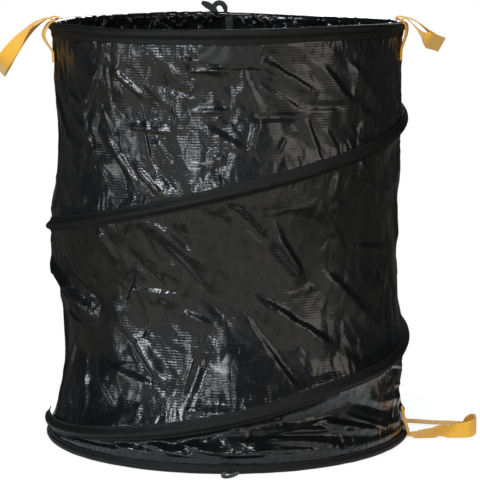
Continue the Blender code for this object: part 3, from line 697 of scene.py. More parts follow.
def sheet_stretch(name, first_sweep, last_sweep, rows):
    """The strip's stretch between two sweeps, as a thin closed sheet, with its area and its width."""
    count = max(int(round(math.radians(last_sweep - first_sweep) * strip_radius / column_step)), 8)
    sweep = np.linspace(first_sweep, last_sweep, count + 1)[:, None]
    low = np.where(sweep < 360.0, sheet_bottom, holding_line(sweep - 360.0))
    high = np.where(sweep > 720.0, sheet_top, holding_line(sweep))
    gap = np.maximum(high - low, least_gap)
    height = low + gap * np.linspace(0.0, 1.0, rows + 1)[None, :]
    degrees = np.broadcast_to((sweep - 90.0 + 180.0) % 360.0 - 180.0, height.shape)

    # The sag, deepest in the low band and shallower at the sides than at the front.
    below_tape = np.minimum(np.where(sweep < 360.0, hem_band, tape_above), gap * seam_share)
    above_tape = np.minimum(np.where(sweep > 720.0, hem_band, tape_below), gap * seam_share)
    free_gap = np.maximum(gap - below_tape - above_tape, least_gap)
    inside = np.clip((height - low - below_tape) / free_gap, 0.0, 1.0)
    from_left = np.exp(-((degrees + 90.0) / left_spread) ** 2)
    from_right = np.exp(-((degrees - 90.0) / right_spread) ** 2)
    middle = (low + high) / 2.0
    lowest = np.clip((low_zone - middle) / low_zone_fade, 0.0, 1.0)
    slack = slack_share * (1.0 - middle / bag_height)
    slack = slack * (1.0 - left_less * from_left - right_less * from_right) * (1.0 + low_more * lowest)
    lopsided = inside ** (even_lean - left_lean * from_left - right_lean * from_right + low_lean * lowest)
    sag = slack * np.maximum(gap - tape_above - tape_below, 0.0) * np.sin(math.pi * lopsided)

    # The folds. They lie flatter under the patch.
    loose, seams = Folds(sweep[:, 0], height), Folds(sweep[:, 0], height)
    crumple(loose)
    if first_sweep < 300.0:
        crumple_low(loose)
    pucker(seams)
    free = np.clip(np.minimum(inside, 1.0 - inside) * gap / seam_fade, 0.0, 1.0)
    near = np.clip(np.minimum(height - low, high - height) / edge_fade, 0.0, 1.0)
    under_patch = (np.abs(degrees) < patch_spread) & (height > patch_low)
    loose.out = np.where(under_patch, np.minimum(loose.out * patch_share, patch_most), loose.out)
    radius = ring_radius(height) - sag + loose.out * free + seams.out * near
    near_rim = np.clip((height - sheet_top + rim_reach) / rim_reach, 0.0, 1.0)
    height = height + rim_lift(degrees) * ease(near_rim)

    angle = np.radians(180.0 + np.broadcast_to(sweep, height.shape))
    points = around_axis(radius, angle, height)
    faces = [(a, d, c, b) for a, b, c, d in grid_faces(count + 1, rows + 1, ring=False)]
    made = mesh_object(name, points, faces, sheet_black)
    change_mesh(made, merge_close)
    return made, thicken(made), float(np.max(gap))


# %% Make the wall
for name, first, last, rows in (("sheet_start", 6.0, 200.0, 76), ("sheet_lower", 200.0, 360.0, 116),
                                ("sheet_middle", 360.0, 540.0, 116), ("sheet_upper", 540.0, 720.0, 116),
                                ("sheet_high", 720.0, 900.0, 104), ("sheet_end", 900.0, 1074.0, 70)):
    part, area, width = sheet_stretch(name, first, last, rows)
    dress(part, "base", "wall_panel")
    squash(part)

# %% [markdown]
# ## The floor
# The floor is a disc of the same sheet, turned up at its edge inside the base's tape. It lies on the
# ground and only wrinkles a little.

# %% Make the floor
spokes, hoops, wrinkle_count = 260, 64, 150
floor_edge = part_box("base_disc")[1][0]
floor_turn, floor_rest, highest_wrinkle = 0.0098, 0.0007, 0.004
radii = np.concatenate([np.linspace(0.004, floor_edge, hoops), [floor_edge, floor_edge]])
lifts = np.concatenate([np.zeros(hoops), [0.004, floor_turn]])
angles = np.arange(spokes) * math.tau / spokes
ripple = np.zeros((len(radii), spokes))
dice = np.random.default_rng(3)
for _ in range(wrinkle_count):
    centre = dice.uniform(-0.26, 0.26, 2)
    lean, reach, wide = dice.uniform(0.0, math.pi), dice.uniform(0.02, 0.11), dice.uniform(0.005, 0.018)
    x = radii[:, None] * np.cos(angles)[None, :] - centre[0]
    y = radii[:, None] * np.sin(angles)[None, :] - centre[1]
    along = np.abs(x * math.cos(lean) + y * math.sin(lean)) / reach
    aside = np.abs(-x * math.sin(lean) + y * math.cos(lean)) / wide
    aside_share, along_share = np.clip(1.0 - aside, 0.0, 1.0), np.clip((1.0 - along) * 2.0, 0.0, 1.0)
    ripple += dice.uniform(0.0004, 0.0015) * aside_share * along_share
ripple *= np.clip((floor_edge - radii) / 0.015, 0.0, 1.0)[:, None]
heights = floor_rest + lifts[:, None] + np.minimum(ripple, highest_wrinkle)
points = [(r * math.cos(a), r * math.sin(a), z)
          for r, row in zip(radii, heights) for a, z in zip(angles, row)]
points.append((0.0, 0.0, float(heights[0].mean())))
faces = [tuple(reversed(f)) for f in grid_faces(len(radii), spokes)]
faces += [(len(points) - 1, i, (i + 1) % spokes) for i in range(spokes)]
floor_sheet = mesh_object("floor_sheet", points, faces, sheet_black)
floor_area = thicken(floor_sheet)
dress(floor_sheet, "base", "base_disc")

# %% [markdown]
# ## Tapes along the wires, with Geometry Nodes
# The two hems and the spiral's sleeve are tapes that follow a line, so one node tree makes all three:
# it turns a path into a curve, lays a cross-section along it, gives the surface its two attributes and
# ripples it a little, as sewn tape does. A second tree sets stitches along a line.

# %% Small helpers for Geometry Nodes
class Shaper(Tree):
    """A Geometry Nodes tree with named inputs."""

    def __init__(self, name, sockets):
        super().__init__(bpy.data.node_groups.new(name, "GeometryNodeTree"))
        face = self.tree.interface
        face.new_socket("Geometry", in_out="INPUT", socket_type="NodeSocketGeometry")
        self.ids = {label: face.new_socket(label, in_out="INPUT", socket_type="NodeSocket" + kind).identifier
                    for label, kind in sockets.items()}
        face.new_socket("Geometry", in_out="OUTPUT", socket_type="NodeSocketGeometry")
        self.source = self.tree.nodes.new("NodeGroupInput")

    def given(self, label):
        return Wire(self, self.source.outputs[label])

    def finish(self, shape):
        """End in Realize Instances and Set Material."""
        real = self.node("GeometryNodeRealizeInstances", {}, {"Geometry": shape})
        painted = self.node("GeometryNodeSetMaterial", {},
                            {"Geometry": real, "Material": self.given("Material")})
        self.node("NodeGroupOutput", {}, [painted])

    def run(self, thing, values):
        """Put the tree on an object as a modifier, set its inputs by identifier and keep the result."""
        modifier = thing.modifiers.new(self.tree.name, "NODES")
        modifier.node_group = self.tree
        for label, value in values.items():
            modifier[self.ids[label]] = value
        thing.update_tag()
        settle(thing)


def line_object(name, points, closed):
    """A mesh that is only a line, for the trees to follow."""
    mesh = bpy.data.meshes.new(name)
    edges = [(i, i + 1) for i in range(len(points) - 1)] + ([(len(points) - 1, 0)] if closed else [])
    mesh.from_pydata([tuple(p) for p in points], edges, [])
    made = bpy.data.objects.new(name, mesh)
    bpy.context.scene.collection.objects.link(made)
    return made


# %% The tape tree
taper = Shaper("tape_along_a_wire", {"Section": "Object", "Ripple": "Float", "Ripple length": "Float",
                                     "Seed": "Float", "Closed ends": "Bool", "Material": "Material"})
path = taper.node("GeometryNodeMeshToCurve", {}, {"Mesh": taper.given("Geometry")})
upright = taper.node("GeometryNodeSetCurveNormal", {"mode": "Z_UP"}, {"Curve": path})
run = taper.node("GeometryNodeSplineParameter", output="Length")
keep_point = {"data_type": "FLOAT", "domain": "POINT"}
path_kept = taper.node("GeometryNodeStoreNamedAttribute", keep_point,
                       {"Geometry": upright, "Name": "along", "Value": run})
shape = taper.node("GeometryNodeObjectInfo", {}, {"Object": taper.given("Section")}, output="Geometry")
section = taper.node("GeometryNodeMeshToCurve", {}, {"Mesh": shape})
section_kept = taper.node("GeometryNodeStoreNamedAttribute", keep_point,
                          {"Geometry": section, "Name": "across", "Value": run})
swept = taper.node("GeometryNodeCurveToMesh", {}, {"Curve": path_kept, "Profile Curve": section_kept,
                                                   "Fill Caps": taper.given("Closed ends")})
spot = taper.node("GeometryNodeInputPosition")
waves = taper.node("ShaderNodeTexNoise", {"noise_dimensions": "4D"},
                   {"Vector": spot, "W": taper.given("Seed"), "Detail": 2.0,
                    "Scale": taper.given("Ripple length").maths("DIVIDE", first=1.0)})
outward = taper.node("GeometryNodeInputNormal")
push = taper.node("ShaderNodeVectorMath", {"operation": "SCALE"},
                  {0: outward, "Scale": (waves - 0.5) * taper.given("Ripple")})
rippled = taper.node("GeometryNodeSetPosition", {}, {"Geometry": swept, "Offset": push})
taper.finish(taper.node("GeometryNodeSetShadeSmooth", {}, {"Geometry": rippled}))
print("tape tree has", len(taper.tree.nodes), "nodes")

# %% The stitch tree
stitcher = Shaper("stitches_along_a_line", {"Pitch": "Float", "Length": "Float", "Thickness": "Float",
                                            "Material": "Material"})
seam = stitcher.node("GeometryNodeMeshToCurve", {}, {"Mesh": stitcher.given("Geometry")})
spaced = stitcher.node("GeometryNodeResampleCurve", {"mode": "LENGTH"},
                       {"Curve": seam, "Length": stitcher.given("Pitch")})
bead = stitcher.node("GeometryNodeMeshUVSphere", {}, {"Segments": 6, "Rings": 5, "Radius": 0.5})
size = stitcher.node("ShaderNodeCombineXYZ", {}, [stitcher.given("Thickness"), stitcher.given("Thickness"),
                                                  stitcher.given("Length")])
facing = stitcher.node("FunctionNodeAlignEulerToVector", {"axis": "Z"},
                       {"Vector": stitcher.node("GeometryNodeInputTangent")})
stitcher.finish(stitcher.node("GeometryNodeInstanceOnPoints", {}, {"Points": spaced, "Instance": bead,
                                                                   "Rotation": facing, "Scale": size}))
print("stitch tree has", len(stitcher.tree.nodes), "nodes")


def sew(name, lines, body, thread, pitch=0.0042, length=0.0030, thickness=0.0007):
    """Stitches along several lines, as one piece on one body."""
    seams = [line_object(f"{name}_{index}", points, closed) for index, (points, closed) in enumerate(lines)]
    first = seams[0]
    if len(seams) > 1:
        with bpy.context.temp_override(active_object=first, object=first, selected_objects=seams,
                                       selected_editable_objects=seams):
            bpy.ops.object.join()
    first.name = name
    stitcher.run(first, {"Pitch": pitch, "Length": length, "Thickness": thickness, "Material": thread})
    first.data.shade_smooth()
    dress(first, body)
    return first


# %% [markdown]
# ## The hems
# Each hem is one tape folded over its hoop. The fold stands up as a soft tube, and the two lips below
# it hold the sheet's edge and are sewn through. The cross-section is drawn as (outward, downward)
# points round the hoop's middle, and the tape tree carries it round the bag.

# %% Sections of the hems
slot_half = 0.0005 + 0.0004
fold_opening = 40.0
rim_line_height, base_line_height = bag_height - rim_tube, 0.0057


def fold_section(round_radius, drop):
    """A tape folded over a hoop. drop is how far the lips reach below the hoop's middle."""
    outer = arc(round_radius, -fold_opening, 180.0 + fold_opening, 26)
    inner = arc(round_radius - tape_thickness, 180.0 + fold_opening, -fold_opening, 20)
    face, back = slot_half + tape_thickness, slot_half
    down = np.linspace(round_radius * 1.12, drop, 6)
    section = [(face, -d) for d in reversed(down)] + outer + [(-face, -d) for d in down]
    return section + [(-back, -d) for d in reversed(down)] + inner + [(back, -d) for d in down]


def ring_line(radius, height, count=480, warped=False):
    """A line round the bag. A warped one follows the rim."""
    sweeps = [i * 360.0 / count for i in range(count)]
    return [round_bag(a, radius, height + (float(rim_lift(a - 90.0)) if warped else 0.0)) for a in sweeps]


def sweep_tape(thing, section, ripple, ripple_length, seed, closed_ends, material, up=-1.0):
    """Carry a section along a line, with up telling which way its second part points."""
    outline = line_object("section", [(x, z * up, 0.0) for x, z in section], True)
    taper.run(thing, {"Section": outline, "Ripple": ripple, "Ripple length": ripple_length, "Seed": seed,
                      "Closed ends": closed_ends, "Material": material})
    bpy.data.objects.remove(outline)


# %% Make the hems
floor_clear = 0.0053
rim_hem = line_object("rim_hem", ring_line(rim_radius + hem_offset, rim_line_height, warped=True), True)
base_hem = line_object("base_hem", ring_line(base_radius + hem_offset, base_line_height), True)
base_section = [(x, max(-z, -floor_clear)) for x, z in fold_section(base_tube, 0.0082)]
sweep_tape(rim_hem, fold_section(rim_tube, 0.0152), 0.0016, 0.028, 2.0, False, tape_black)
sweep_tape(base_hem, base_section, 0.0016, 0.028, 7.0, False, tape_black)
dress(rim_hem, "rim", "top_hem")
dress(base_hem, "base", "bottom_hem")

# %% [markdown]
# ## The sheet turned in at the rim
# Looking into the mouth, the tape can't be seen: the sheet's upper edge is turned in over the hoop, and
# is as crumpled and shiny there as anywhere else. Its crumples stand off the tape. It goes with the rim.

# %% Make the turned-in edge
columns, crumple_count = 900, 900
over_turns = np.linspace(100.0, 188.0, 12)
section = arc(rim_tube + 0.0007, 100.0, 188.0, len(over_turns))
section += [(section[-1][0] + 0.0032 * s, section[-1][1] - 0.0205 * s) for s in np.linspace(0.08, 1.0, 13)]
section = np.array(section)
hanging = len(section) - len(over_turns)
sweep = np.linspace(0.0, 360.0, columns, endpoint=False)
lean_out = np.array([*np.cos(np.radians(over_turns)), *[-1.0] * hanging])[None, :]
lean_up = np.array([*np.sin(np.radians(over_turns)), *[0.0] * hanging])[None, :]
edge_heights = rim_line_height + section[:, 1][None, :] + np.zeros((columns, 1))
edge_folds = Folds(sweep, edge_heights)
dice = np.random.default_rng(31)
for _ in range(crumple_count):
    degrees = dice.uniform(-176.0, 176.0)
    lean, reach = dice.normal(0.0, 2.4), dice.uniform(0.012, 0.034)
    top = dice.uniform(0.640, 0.660)
    rise = dice.uniform(0.6, 2.8) * dice.choice(in_or_out)
    edge_folds.fold((degrees, top), (degrees + lean, top - reach), rise,
                    dice.uniform(0.002, 0.008), dice.uniform(0.002, 0.008))
first_rows = np.clip((np.arange(len(section)) + 1.0) / 5.0, 0.0, 1.0)[None, :]
stand_off = (np.clip(edge_folds.out, -0.0003, 0.0035) + 0.0010) * first_rows
radius = rim_radius + hem_offset + section[:, 0][None, :] + stand_off * lean_out
angle = np.radians(180.0 + sweep)[:, None]
height = edge_heights + stand_off * lean_up + rim_lift(sweep - 90.0)[:, None]
points = around_axis(radius, angle, height)
faces = [tuple(reversed(f)) for f in grid_faces(columns, len(section), ring=False, closed=True)]
turned_edge = mesh_object("sheet_turned_edge", points, faces, sheet_black)
edge_area = thicken(turned_edge)
dress(turned_edge, "rim", "wall_panel")

# %% [markdown]
# ## The spiral's sleeve and its wire
# The sleeve is a single tape with both edges sewn flat on the wall. It is drawn tight over the wire, so
# its section is a low tent: one slope faces up and catches the light, the other faces down and is
# nearly black. Its ends are sewn shut over plastic cups that keep the wire from working through.

# %% Section of the sleeve
proud = 0.0088
wire_play, lining = 0.0003, 0.0006
casing = wire_radius + wire_play + tape_thickness + lining
wire_middle = proud - tape_thickness - casing
sleeve_seat = 0.0004
lip, lip_bend, lip_back = 0.0015, 0.0028, 0.0034


def between(start, end, shares=(0.33, 0.66)):
    return [(start[0] + (end[0] - start[0]) * t, start[1] + (end[1] - start[1]) * t) for t in shares]


def tent_section():
    """Section of the sleeve as (outward from the wall, height) points, closed."""
    nose = arc(casing + tape_thickness, 52.0, -60.0, 12, wire_middle)
    back = arc(casing, -60.0, 52.0, 9, wire_middle)
    out = sleeve_seat + tape_thickness
    top, low = tape_above, -tape_below
    section = [(out, top), (out, top - lip), (out * 1.02, top - lip_bend)]
    section += between((out, top - lip_bend), nose[0]) + nose + between(nose[-1], (out, low + lip_bend))
    section += [(out * 1.02, low + lip_bend), (out, low + lip), (out, low)]
    section += [(sleeve_seat, low), (sleeve_seat, low + lip_back)]
    return section + back + [(sleeve_seat, top - lip_back), (sleeve_seat, top)]


def spiral_line(start, end, off_wall, rise, count):
    points = []
    for sweep in np.linspace(start, end, count):
        height = float(spiral_height(sweep)) + rise
        points.append(round_bag(sweep, float(ring_radius(height)) + hem_offset + off_wall, height))
    return points


# %% Make the sleeve, the spring and its cups
sleeve = line_object("spiral_tape", spiral_line(-0.6, spiral_end_deg + 0.6, 0.0, 0.0, 900), False)
sweep_tape(sleeve, tent_section(), 0.0013, 0.020, 4.0, True, tape_black)
spring = line_object("spring_wire", spiral_line(1.4, spiral_end_deg - 1.4, wire_middle, 0.0, 560), False)
sweep_tape(spring, arc(wire_radius, 0.0, 324.0, 10), 0.0, 0.05, 0.0, True, wire_steel, up=1.0)
cup_profile = ((0.0017, 0.0), (0.0026, 0.0004), (0.0030, 0.0013), (0.0030, 0.0132), (0.0027, 0.0137),
               (0.0022, 0.0133), (0.0022, 0.0016))
cup_floor = 0.0014


def cup(name, sweep, way, turns=18):
    """The cup over one end of the wire: a turned shell, closed at its outer end."""
    start = Vector(spiral_line(sweep, sweep + 1.0, wire_middle, 0.0, 2)[0])
    ahead = Vector(spiral_line(sweep + way * 2.0, sweep + way * 3.0, wire_middle, 0.0, 2)[0])
    along = (ahead - start).normalized()
    side = along.cross(Vector((0.0, 0.0, 1.0))).normalized()
    other = along.cross(side)
    points = [start + along * run + side * (radius * math.cos(math.tau * i / turns))
              + other * (radius * math.sin(math.tau * i / turns))
              for radius, run in cup_profile for i in range(turns)]
    last = len(points) - turns
    faces = grid_faces(len(cup_profile), turns)
    faces += [(len(points), (i + 1) % turns, i) for i in range(turns)]
    faces += [(len(points) + 1, last + i, last + (i + 1) % turns) for i in range(turns)]
    made = mesh_object(name, [*points, start, start + along * cup_floor], faces, cap_plastic)
    change_mesh(made, face_outward)
    return made


cup_sweep = 0.6
low_cup = cup("spring_cup_low", cup_sweep, 1.0)
high_cup = cup("spring_cup_high", spiral_end_deg - cup_sweep, -1.0)
for piece, node, slot in ((sleeve, "spiral_sleeve", "black_tape"), (spring, "spiral_wire", "spring_steel"),
                          (low_cup, "wire_end_cap_bottom", "black_plastic"),
                          (high_cup, "wire_end_cap_top", "black_plastic")):
    dress(piece, "base", node)
    squash(piece)

# %% [markdown]
# ## Seams
# The thread is black on black and shows only as a row of small raised beads, one row along each lip.

# %% Sew the tapes
rim_row_height, base_row_height = bag_height - 0.0195, 0.0118
row_outside, row_inside = 0.0020, -0.0016
sew("rim_stitches", [(ring_line(rim_radius + off, rim_row_height, 720, True), True)
                     for off in (row_outside, row_inside)], "rim", thread_black)
sew("base_stitches", [(ring_line(base_radius + row_outside, base_row_height, 720), True)],
    "base", thread_black)
squash(sew("spiral_stitches", [(spiral_line(0.0, spiral_end_deg, 0.0015, rise, 1400), False)
                               for rise in (tape_above - 0.0016, 0.0016 - tape_below)],
           "base", thread_black))

# %% [markdown]
# ## Webbing handles
# A strap is a flat strip swept along a line, with a direction for its width at each station. Each
# handle comes up from its seam, arches out, turns edge on through a quarter turn, and crosses over as
# the grip. The sewn ends are strips of their own here, because the loop swings on its seam.

# %% Strips and cords along a path
def stations(path):
    """Each point of a path, the direction there and the length run so far."""
    run = 0.0
    for index, point in enumerate(path):
        before, after = path[max(index - 1, 0)], path[min(index + 1, len(path) - 1)]
        run += (point - path[index - 1]).length if index else 0.0
        yield index, point, (after - before).normalized(), run


def tube_object(name, points, size, along, across, material):
    """A closed tube from its sections' points, with the two attributes that the finish follows."""
    count = len(points)
    faces = grid_faces(count // size, size)
    faces += [tuple(reversed(range(size))), tuple(range(count - size, count))]
    made = mesh_object(name, points, faces, material)
    for label, values in (("along", along), ("across", across)):
        made.data.attributes.new(label, "FLOAT", "POINT").data.foreach_set("value", values)
    change_mesh(made, face_outward)
    return made


def strap(name, path, sides, width, thickness, material, taper=None):
    """A flat strip with rounded edges. sides give the direction of its width."""
    half, edge = width / 2.0, thickness / 2.0
    lobes = arc(edge, -90.0, 90.0, 5, half - edge)
    inner = [(half * s, edge) for s in (0.66, 0.33, 0.0, -0.33, -0.66)]
    section = lobes + inner + [(-x, -y) for x, y in lobes + inner]
    points, along, across = [], [], []
    for index, point, forward, run in stations(path):
        side = (sides[index] - forward * sides[index].dot(forward)).normalized()
        normal = forward.cross(side)
        scale = taper[index] if taper else 1.0
        points += [point + side * (a * scale) + normal * b for a, b in section]
        along += [run] * len(section)
        across += [a + half for a, _ in section]
    made = tube_object(name, points, len(section), along, across, material)
    made.data.set_sharp_from_angle(angle=math.radians(60.0))
    return made


def smooth_line(knots, per_span):
    """A Catmull-Rom curve through the knots."""
    ends = [knots[0] * 2.0 - knots[1], *knots, knots[-1] * 2.0 - knots[-2]]
    line = []
    for p0, p1, p2, p3 in zip(ends, ends[1:], ends[2:], ends[3:]):
        for step in range(per_span):
            t = step / per_span
            line.append(0.5 * (2.0 * p1 + (p2 - p0) * t + (2.0 * p0 - 5.0 * p1 + 4.0 * p2 - p3) * t ** 2
                               + (3.0 * p1 - p0 - 3.0 * p2 + p3) * t ** 3))
    return line + [knots[-1].copy()]


def span(p0, p1, p2, p3, count):
    """Points on one cubic Bezier span."""
    return [(1 - t) ** 3 * p0 + 3 * (1 - t) ** 2 * t * p1 + 3 * (1 - t) * t * t * p2 + t ** 3 * p3
            for t in (i / (count - 1) for i in range(count))]


# %% The loops
webbing_width, webbing_thickness, spacing = 0.025, 0.0016, 0.100
half = spacing / 2.0
floor_gap = 0.0030
rim_hinge_out, rim_hinge_height = 0.26712, 0.6591
base_hinge_out, base_hinge_height = 0.29199, 0.0042
up, rear = Vector((0.0, 0.0, 1.0)), Vector((0.0, 1.0, 0.0))


def handle_loop(side, hinge_x, hinge_z, knots):
    """A handle loop over its solid. A knot is (outward, towards the rear, upward) from the hinge, and the
    turn of the strap there in degrees: flat along the hinge at 0 and 180, on edge at 90."""
    hinge, outward = Vector((hinge_x, 0.0, hinge_z)), Vector((math.copysign(1.0, hinge_x), 0.0, 0.0))
    places = smooth_line([hinge + outward * out + rear * back + up * rise for out, back, rise, _ in knots], 9)
    turns = [v.x for v in smooth_line([Vector((turn, 0.0, 0.0)) for *_, turn in knots], 9)]
    grip = max(knots, key=lambda knot: knot[0])
    square = (up * grip[0] - outward * grip[2]).normalized() if grip[2] < 0.0 else up
    sides = [rear * math.cos(math.radians(turn)) + square * math.sin(math.radians(turn)) for turn in turns]
    if side == "dump":
        places = [Vector((p.x, p.y, max(p.z, abs(s.z) * webbing_width / 2.0 + floor_gap)))
                  for p, s in zip(places, sides)]
    made = strap(f"{side}_grip", places, sides, webbing_width, webbing_thickness, webbing_orange)
    dress(made, f"{side}_handle", f"{side}_handle_loop")


handle_loop("left", -rim_hinge_out, rim_hinge_height, (
    (0, -half, 0, 0), (0.006, -half, 0.0045, 0), (0.016, -half, 0.0045, 0), (0.032, -half, -0.003, 8),
    (0.046, -half, -0.017, 25), (0.058, -half, -0.032, 50), (0.070, -half, -0.048, 72),
    (0.079, -0.047, -0.060, 86), (0.084, -0.036, -0.067, 90), (0.090, 0, -0.075, 92),
    (0.095, 0.034, -0.082, 96), (0.093, 0.047, -0.078, 106), (0.080, half, -0.058, 130),
    (0.060, half, -0.033, 155), (0.038, half, -0.012, 172), (0.018, half, 0.0010, 180),
    (0.006, half, 0.0030, 180), (0, half, 0, 180)))
handle_loop("right", rim_hinge_out, rim_hinge_height, (
    (0, -half, 0, 0), (0.005, -half, 0.0045, 0), (0.012, -half, 0.0040, 0), (0.025, -half, -0.0085, 4),
    (0.035, -half, -0.0195, 18), (0.042, -0.047, -0.027, 52), (0.049, -0.036, -0.031, 82),
    (0.060, -0.004, -0.035, 92), (0.069, 0.024, -0.039, 94), (0.0735, 0.040, -0.041, 100),
    (0.069, 0.048, -0.035, 138), (0.055, half, -0.021, 170), (0.035, half, -0.005, 180),
    (0.016, half, 0.0025, 180), (0.005, half, 0.0035, 180), (0, half, 0, 180)))
handle_loop("dump", base_hinge_out, base_hinge_height, (
    (-0.0035, -half, 0, 0), (0.004, -half, 0.0010, 5), (0.010, -0.052, 0.0005, 12),
    (0.018, -0.055, 0.000, 18), (0.032, -0.055, 0.003, 24), (0.047, -0.054, 0.0075, 30),
    (0.068, -0.058, 0.0060, 46), (0.086, -0.060, 0.0068, 62), (0.098, -0.052, 0.0083, 80),
    (0.1045, -0.036, 0.0083, 90), (0.1065, -0.010, 0.0080, 108), (0.105, 0.010, 0.0070, 134),
    (0.099, 0.023, 0.004, 158), (0.087, 0.029, 0.0015, 172), (0.068, 0.032, 0.0005, 180),
    (0.044, 0.036, 0, 180), (0.016, 0.045, 0, 180), (-0.0035, half, 0, 180)))


# %% The sewn ends
def sewn_end(side, place, body, azimuth, outline, yaw=0.0):
    """A strap's sewn end along (radius, height) knots: flat on the wall first, then bowing off it and
    turned by a few degrees of yaw where it is free. Its stitches' lines are returned."""
    ahead = Vector((math.cos(azimuth), math.sin(azimuth), 0.0))
    knots = [Vector((r * math.cos(azimuth), r * math.sin(azimuth), z)) for r, z in outline]
    path = [knots[0] + (knots[1] - knots[0]) * (i / 6.0) for i in range(6)] + smooth_line(knots[1:], 9)
    across = up.cross(ahead)
    yaws = [math.radians(yaw) * math.sin(math.pi * min(max((i - 5) / (len(path) - 6), 0.0), 1.0))
            for i in range(len(path))]
    made = strap(f"{side}_end_{place}", path, [Matrix.Rotation(a, 3, "Z") @ across for a in yaws],
                 webbing_width, webbing_thickness, webbing_orange)
    dress(made, body, f"{side}_handle_{place}_tab")
    away = ahead * (webbing_thickness / 2.0 + 0.0001)
    low, top = (knots[0] + (knots[1] - knots[0]) * share + away for share in (0.12, 0.94))
    edge = across * (webbing_width / 2.0 - 0.003)
    corners = [low - edge, low + edge, top + edge, top - edge]
    box = [corners[i] + (corners[(i + 1) % 4] - corners[i]) * (j / 10.0)
           for i in range(4) for j in range(10)]
    crossing = [[corners[i] + (corners[i + 2] - corners[i]) * (j / 10.0) for j in range(11)] for i in (0, 1)]
    return (box, True), (crossing[0], False), (crossing[1], False)


rim_ring = rim_radius + hem_offset
rim_face = rim_ring + rim_tube
rear_bulge, tab_flat = 0.0012, 0.016
tab_off, low_sink, high_sink = 0.0019, 0.0022, 0.0012
tab_seat = 0.0014
dump_ring = 0.296
rim_seams, base_seams = [], []
# Side, azimuth, way round, length below the rim, bulge and yaw of the front end, and where it bends.
for side, facing, way, reach, front_bulge, front_yaw, bend in (
        ("left", math.pi, -1.0, 0.062, 0.0075, 6.0, 0.021), ("right", 0.0, 1.0, 0.058, 0.0006, -4.0, 0.018)):
    for place, sign, bulge, yaw in (("front", -1.0, front_bulge, front_yaw), ("rear", 1.0, rear_bulge, 0.0)):
        low = bag_height - reach
        outline = [(float(ring_radius(low)) + tab_off - low_sink, low),
                   (float(ring_radius(low + tab_flat)) + tab_off - high_sink, low + tab_flat),
                   (rim_face + bulge + 0.0008, bag_height - bend),
                   (rim_face + tab_seat, bag_height - 0.0034), (rim_ring + tab_off, bag_height + 0.0011)]
        azimuth = facing + way * sign * math.asin(half / rim_ring)
        rim_seams += sewn_end(side, place, "rim", azimuth, outline, yaw)
hem_face = base_radius + hem_offset + base_tube + tab_seat
for place, sign in (("front", -1.0), ("rear", 1.0)):
    outline = [(0.2815, 0.050), (0.2848, 0.032), (hem_face, 0.0083), (hem_face, 0.0034)]
    base_seams += sewn_end("dump", place, "base", sign * math.asin(half / dump_ring), outline)
for name, seams, body in (("rim_handle_stitches", rim_seams, "rim"),
                          ("dump_handle_stitches", base_seams, "base")):
    sew(name, seams, body, thread_orange, pitch=0.0032, length=0.0026)

# %% [markdown]
# ## The patch
# A woven patch is sewn under the front of the rim. It is left bare.

# %% Make the patch
patch_wide, patch_tall, patch_top = 0.080, 0.026, bag_height - 0.0235
patch_off, patch_thickness, patch_soft = 0.0022, 0.0008, 0.0004
columns, rows = 60, 18
points = []
for layer in (0, 1):
    for i in range(columns + 1):
        for j in range(rows + 1):
            u, v = i / columns - 0.5, j / rows
            height = patch_top - patch_tall * v
            wave = 0.0006 * math.sin(9.0 * u + 2.0 * v) + 0.0005 * math.sin(23.0 * u * (1.2 - v))
            edge = min(abs(abs(u) - 0.5) * patch_wide, v * patch_tall, (1.0 - v) * patch_tall)
            soft = patch_soft * (1.0 - min(edge / 0.0012, 1.0)) if layer else 0.0
            radius = float(ring_radius(height)) + patch_off + wave + layer * patch_thickness - soft
            points.append(round_bag(90.0 + math.degrees(patch_wide * u / rim_radius), radius, height))
wide = rows + 1
block = (columns + 1) * wide
faces = []
for a, b, c, d in grid_faces(columns + 1, wide, ring=False):
    faces += [(a, d, c, b), (block + a, block + b, block + c, block + d)]
border = ([(i * wide) for i in range(columns + 1)] + [columns * wide + j for j in range(1, rows + 1)]
          + [i * wide + rows for i in range(columns - 1, -1, -1)] + [j for j in range(rows - 1, 0, -1)])
for here, there in zip(border, border[1:] + border[:1]):
    faces.append((here, there, block + there, block + here))
patch = mesh_object("bare_patch", points, faces, patch_black)
change_mesh(patch, face_outward)
patch.data.set_sharp_from_angle(angle=math.radians(50.0))
dress(patch, "rim", "label_patch")
edge_line = [points[block + k] for k in border]
centre = sum(edge_line, Vector()) / len(edge_line)
inset_share, stitch_rise = 0.955, Vector((0.0, -0.0004, 0.0))
stitch_line = [centre + (p - centre) * inset_share + stitch_rise for p in edge_line]
sew("patch_stitches", [(stitch_line, True)], "rim", thread_black, pitch=0.0028, length=0.0021,
    thickness=0.0005)

# %% [markdown]
# ## Closure loops
# When the bag is pressed flat, an elastic loop at the rear of the rim hooks on to the one at the front
# of the base. Both are braided elastic, thinner where they are sewn down.

# %% Braided loops
foot_share, foot_length, drawn_share = 0.6, 0.007, 0.75


def braid(name, node, body, path, wide, deep, side, turns=20):
    """A flattened cord along a path, narrowed at its feet."""
    points, along, across = [], [], []
    total = sum((b - a).length for a, b in zip(path, path[1:]))
    for _, point, forward, run in stations(path):
        depth = (side - forward * side.dot(forward)).normalized()
        flat = forward.cross(depth)
        share = foot_share + (1.0 - foot_share) * min(min(run, total - run) / foot_length, 1.0)
        for i in range(turns):
            angle = math.tau * i / turns
            points.append(point + depth * (deep * share * math.cos(angle))
                          + flat * (wide * share * math.sin(angle)))
            along.append(run)
            across.append((wide + deep) * math.pi / 2.0 * i / turns)
    dress(tube_object(name, points, turns, along, across, elastic_black), body, node)


def loop_feet(hinge, middle, half_width):
    """A loop's two feet on its hinge, the left one first."""
    return [hinge + Vector((middle + side * half_width, 0.0, 0.0)) for side in (-1.0, 1.0)]


